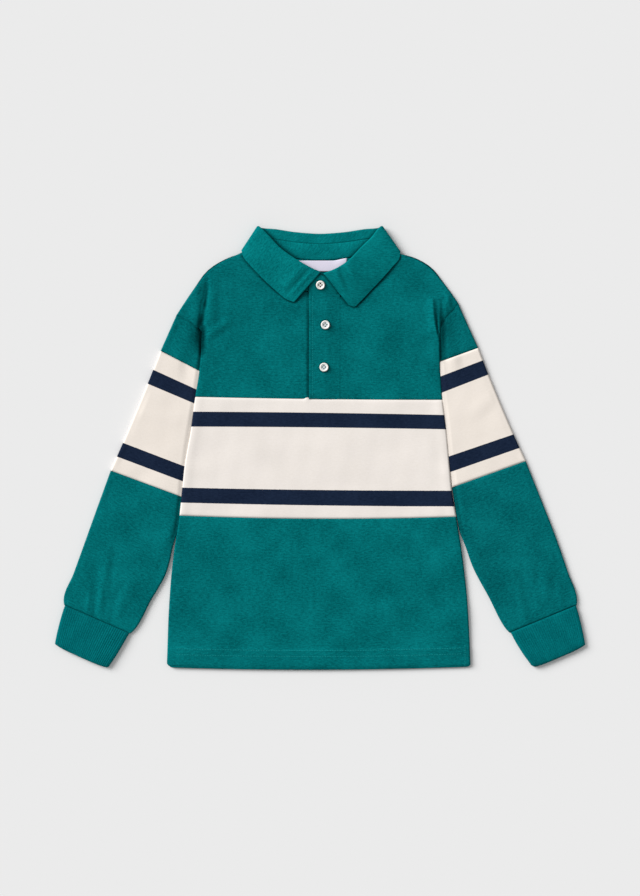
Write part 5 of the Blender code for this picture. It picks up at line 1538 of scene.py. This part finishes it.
def thread_shape(length, thickness, sides=6, rings=7):
    """One stitch lying along x: a round thread whose two ends go down into the cloth."""
    share = np.linspace(-1, 1, rings)
    round_it = np.linspace(0, 2 * np.pi, sides, endpoint=False)
    radius = thickness / 2 * np.sqrt(np.clip(1 - share ** 4, 0.05, 1))
    x = np.broadcast_to(share[:, None] * length / 2, (rings, sides))
    y = radius[:, None] * np.cos(round_it)
    z = radius[:, None] * np.sin(round_it) - thickness * 0.9 * share[:, None] ** 4
    faces = grid_faces(rings, sides, closed=True)
    return np.stack([x, y, z], axis=2).reshape(-1, 3), faces


def stitch_row(name, line, pitch, length, height, thickness=THREAD, wander=0.12):
    """Stitches along a line of (x, y) points, each on the height that height(x, y) gives."""
    total = lengths(line)
    count = int(total[-1] // pitch)
    at = (np.arange(count) + 0.5) * pitch
    middle = np.stack([np.interp(at, total, line[:, k]) for k in (0, 1)], axis=1)
    ahead = np.stack([np.interp(at + 0.5, total, line[:, k]) for k in (0, 1)], axis=1)
    way = ahead - middle
    way = way / np.maximum(np.linalg.norm(way, axis=1), 1e-9)[:, None]
    middle = middle + rng.normal(0, wander, middle.shape)
    shape, faces = thread_shape(length, thickness)
    x = middle[:, None, 0] + shape[:, 0] * way[:, None, 0] - shape[:, 1] * way[:, None, 1]
    y = middle[:, None, 1] + shape[:, 0] * way[:, None, 1] + shape[:, 1] * way[:, None, 0]
    z = height(middle[:, 0], middle[:, 1])[:, None] + shape[:, 2] + 0.1
    points = np.stack([x, y, z], axis=2).reshape(-1, 3)
    all_faces = (faces[None] + (np.arange(count) * len(shape))[:, None, None]).reshape(-1, 4)
    return dressed(mesh_from(name, points, all_faces), thread_green)


def hem_top(x, y):
    """Upper face of the turned-up hem."""
    return front_height(x, y) + HEM_STEP


hem_x = np.linspace(-158.0, 156.0, 200)
for name, above in (("hem_stitches_upper", 21.2), ("hem_stitches_lower", 14.8)):
    hem_line = np.stack([hem_x, seam_y(HEM, hem_x) + above], axis=1)
    stitch_row(name, hem_line, 2.8, 2.1, hem_top)
hem_end = np.stack([np.full(20, 159.3), np.linspace(-217.0, -240.0, 20)], axis=1)
stitch_row("hem_side_stitches", hem_end, 2.3, 2.0, hem_top)

placket_line = np.stack([np.full(60, PLACKET_RIGHT_EDGE + 4.4), np.linspace(57.0, 168.5, 60)],
                        axis=1)
placket_sewing = stitch_row("placket_edge_stitches", placket_line, 2.5, 1.8, placket_top, 0.42)

# %% [markdown]
# ## Table, light and camera
# The table is a pale grey. A broad lamp from the upper left gives a little over half of the light
# and an even white sky the rest, and together they set how bright the bare table shows. The
# camera looks straight down from high up.

# %% Floor, light and camera
FLOOR_SHADE = 0.8               # share of the light that the table gives back
FLOOR_REACH = 9                 # metres to each side
SUN_SHARE = 0.58                # of the light on the table; the rest is the sky's
SUN_FROM = np.array([-0.80, 0.50, 0.58])
SUN_WIDTH = 36                  # degrees: a wide lamp, for soft shadows
LIGHT = srgb(235, 235, 235)[0] / FLOOR_SHADE
mesh = bpy.data.meshes.new("table")
corners = [(x * FLOOR_REACH, y * FLOOR_REACH, 0) for x, y in ((-1, -1), (1, -1), (1, 1), (-1, 1))]
mesh.from_pydata(corners, [], [(0, 1, 2, 3)])
floor = bpy.data.objects.new("table", mesh)
bpy.context.scene.collection.objects.link(floor)
floor.data.materials.append(plain("table_top", (FLOOR_SHADE,) * 3 + (1.0,), 1.0, 0.0))

world = bpy.data.worlds.new("studio")
bpy.context.scene.world = world
world.use_nodes = True
world.node_tree.nodes["Background"].inputs["Color"].default_value = (1.0, 1.0, 1.0, 1.0)
world.node_tree.nodes["Background"].inputs["Strength"].default_value = LIGHT * (1 - SUN_SHARE)

direction = SUN_FROM / np.linalg.norm(SUN_FROM)
lamp = bpy.data.lights.new("window", "SUN")
lamp.energy = LIGHT * SUN_SHARE * np.pi / direction[2]
lamp.angle = np.radians(SUN_WIDTH)
sun = bpy.data.objects.new("window", lamp)
sun.rotation_mode = "QUATERNION"
sun.rotation_quaternion = Vector(direction.tolist()).to_track_quat("Z", "Y")
bpy.context.scene.collection.objects.link(sun)

HEIGHT = 2.5                    # the camera's, in metres
PICTURE_HEIGHT = 0.9856         # metres of table in the picture's height: 896 rows of 1.1 mm
SENSOR = 36.0
camera_data = bpy.data.cameras.new("camera")
camera_data.sensor_width = SENSOR
camera_data.lens = SENSOR * HEIGHT / PICTURE_HEIGHT
camera = bpy.data.objects.new("camera", camera_data)
camera.location = (-0.0001, -0.000085, HEIGHT)
bpy.context.scene.collection.objects.link(camera)
bpy.context.scene.camera = camera
bpy.context.scene.view_settings.view_transform = "Standard"
bpy.context.scene.view_settings.look = "None"
print("sun:", round(lamp.energy, 3), "sky:", round(LIGHT * (1 - SUN_SHARE), 3))

# %% [markdown]
# ## What each cloth is
# Every cloth piece is printed with the size it was cut to.

# %% Sheets
for name, (piece, width, length, area) in sheets.items():
    min(area, width * length)
    print(f"{name}: {1000 * width:.0f} x {1000 * length:.0f} mm, {1e4 * area:.0f} cm2")
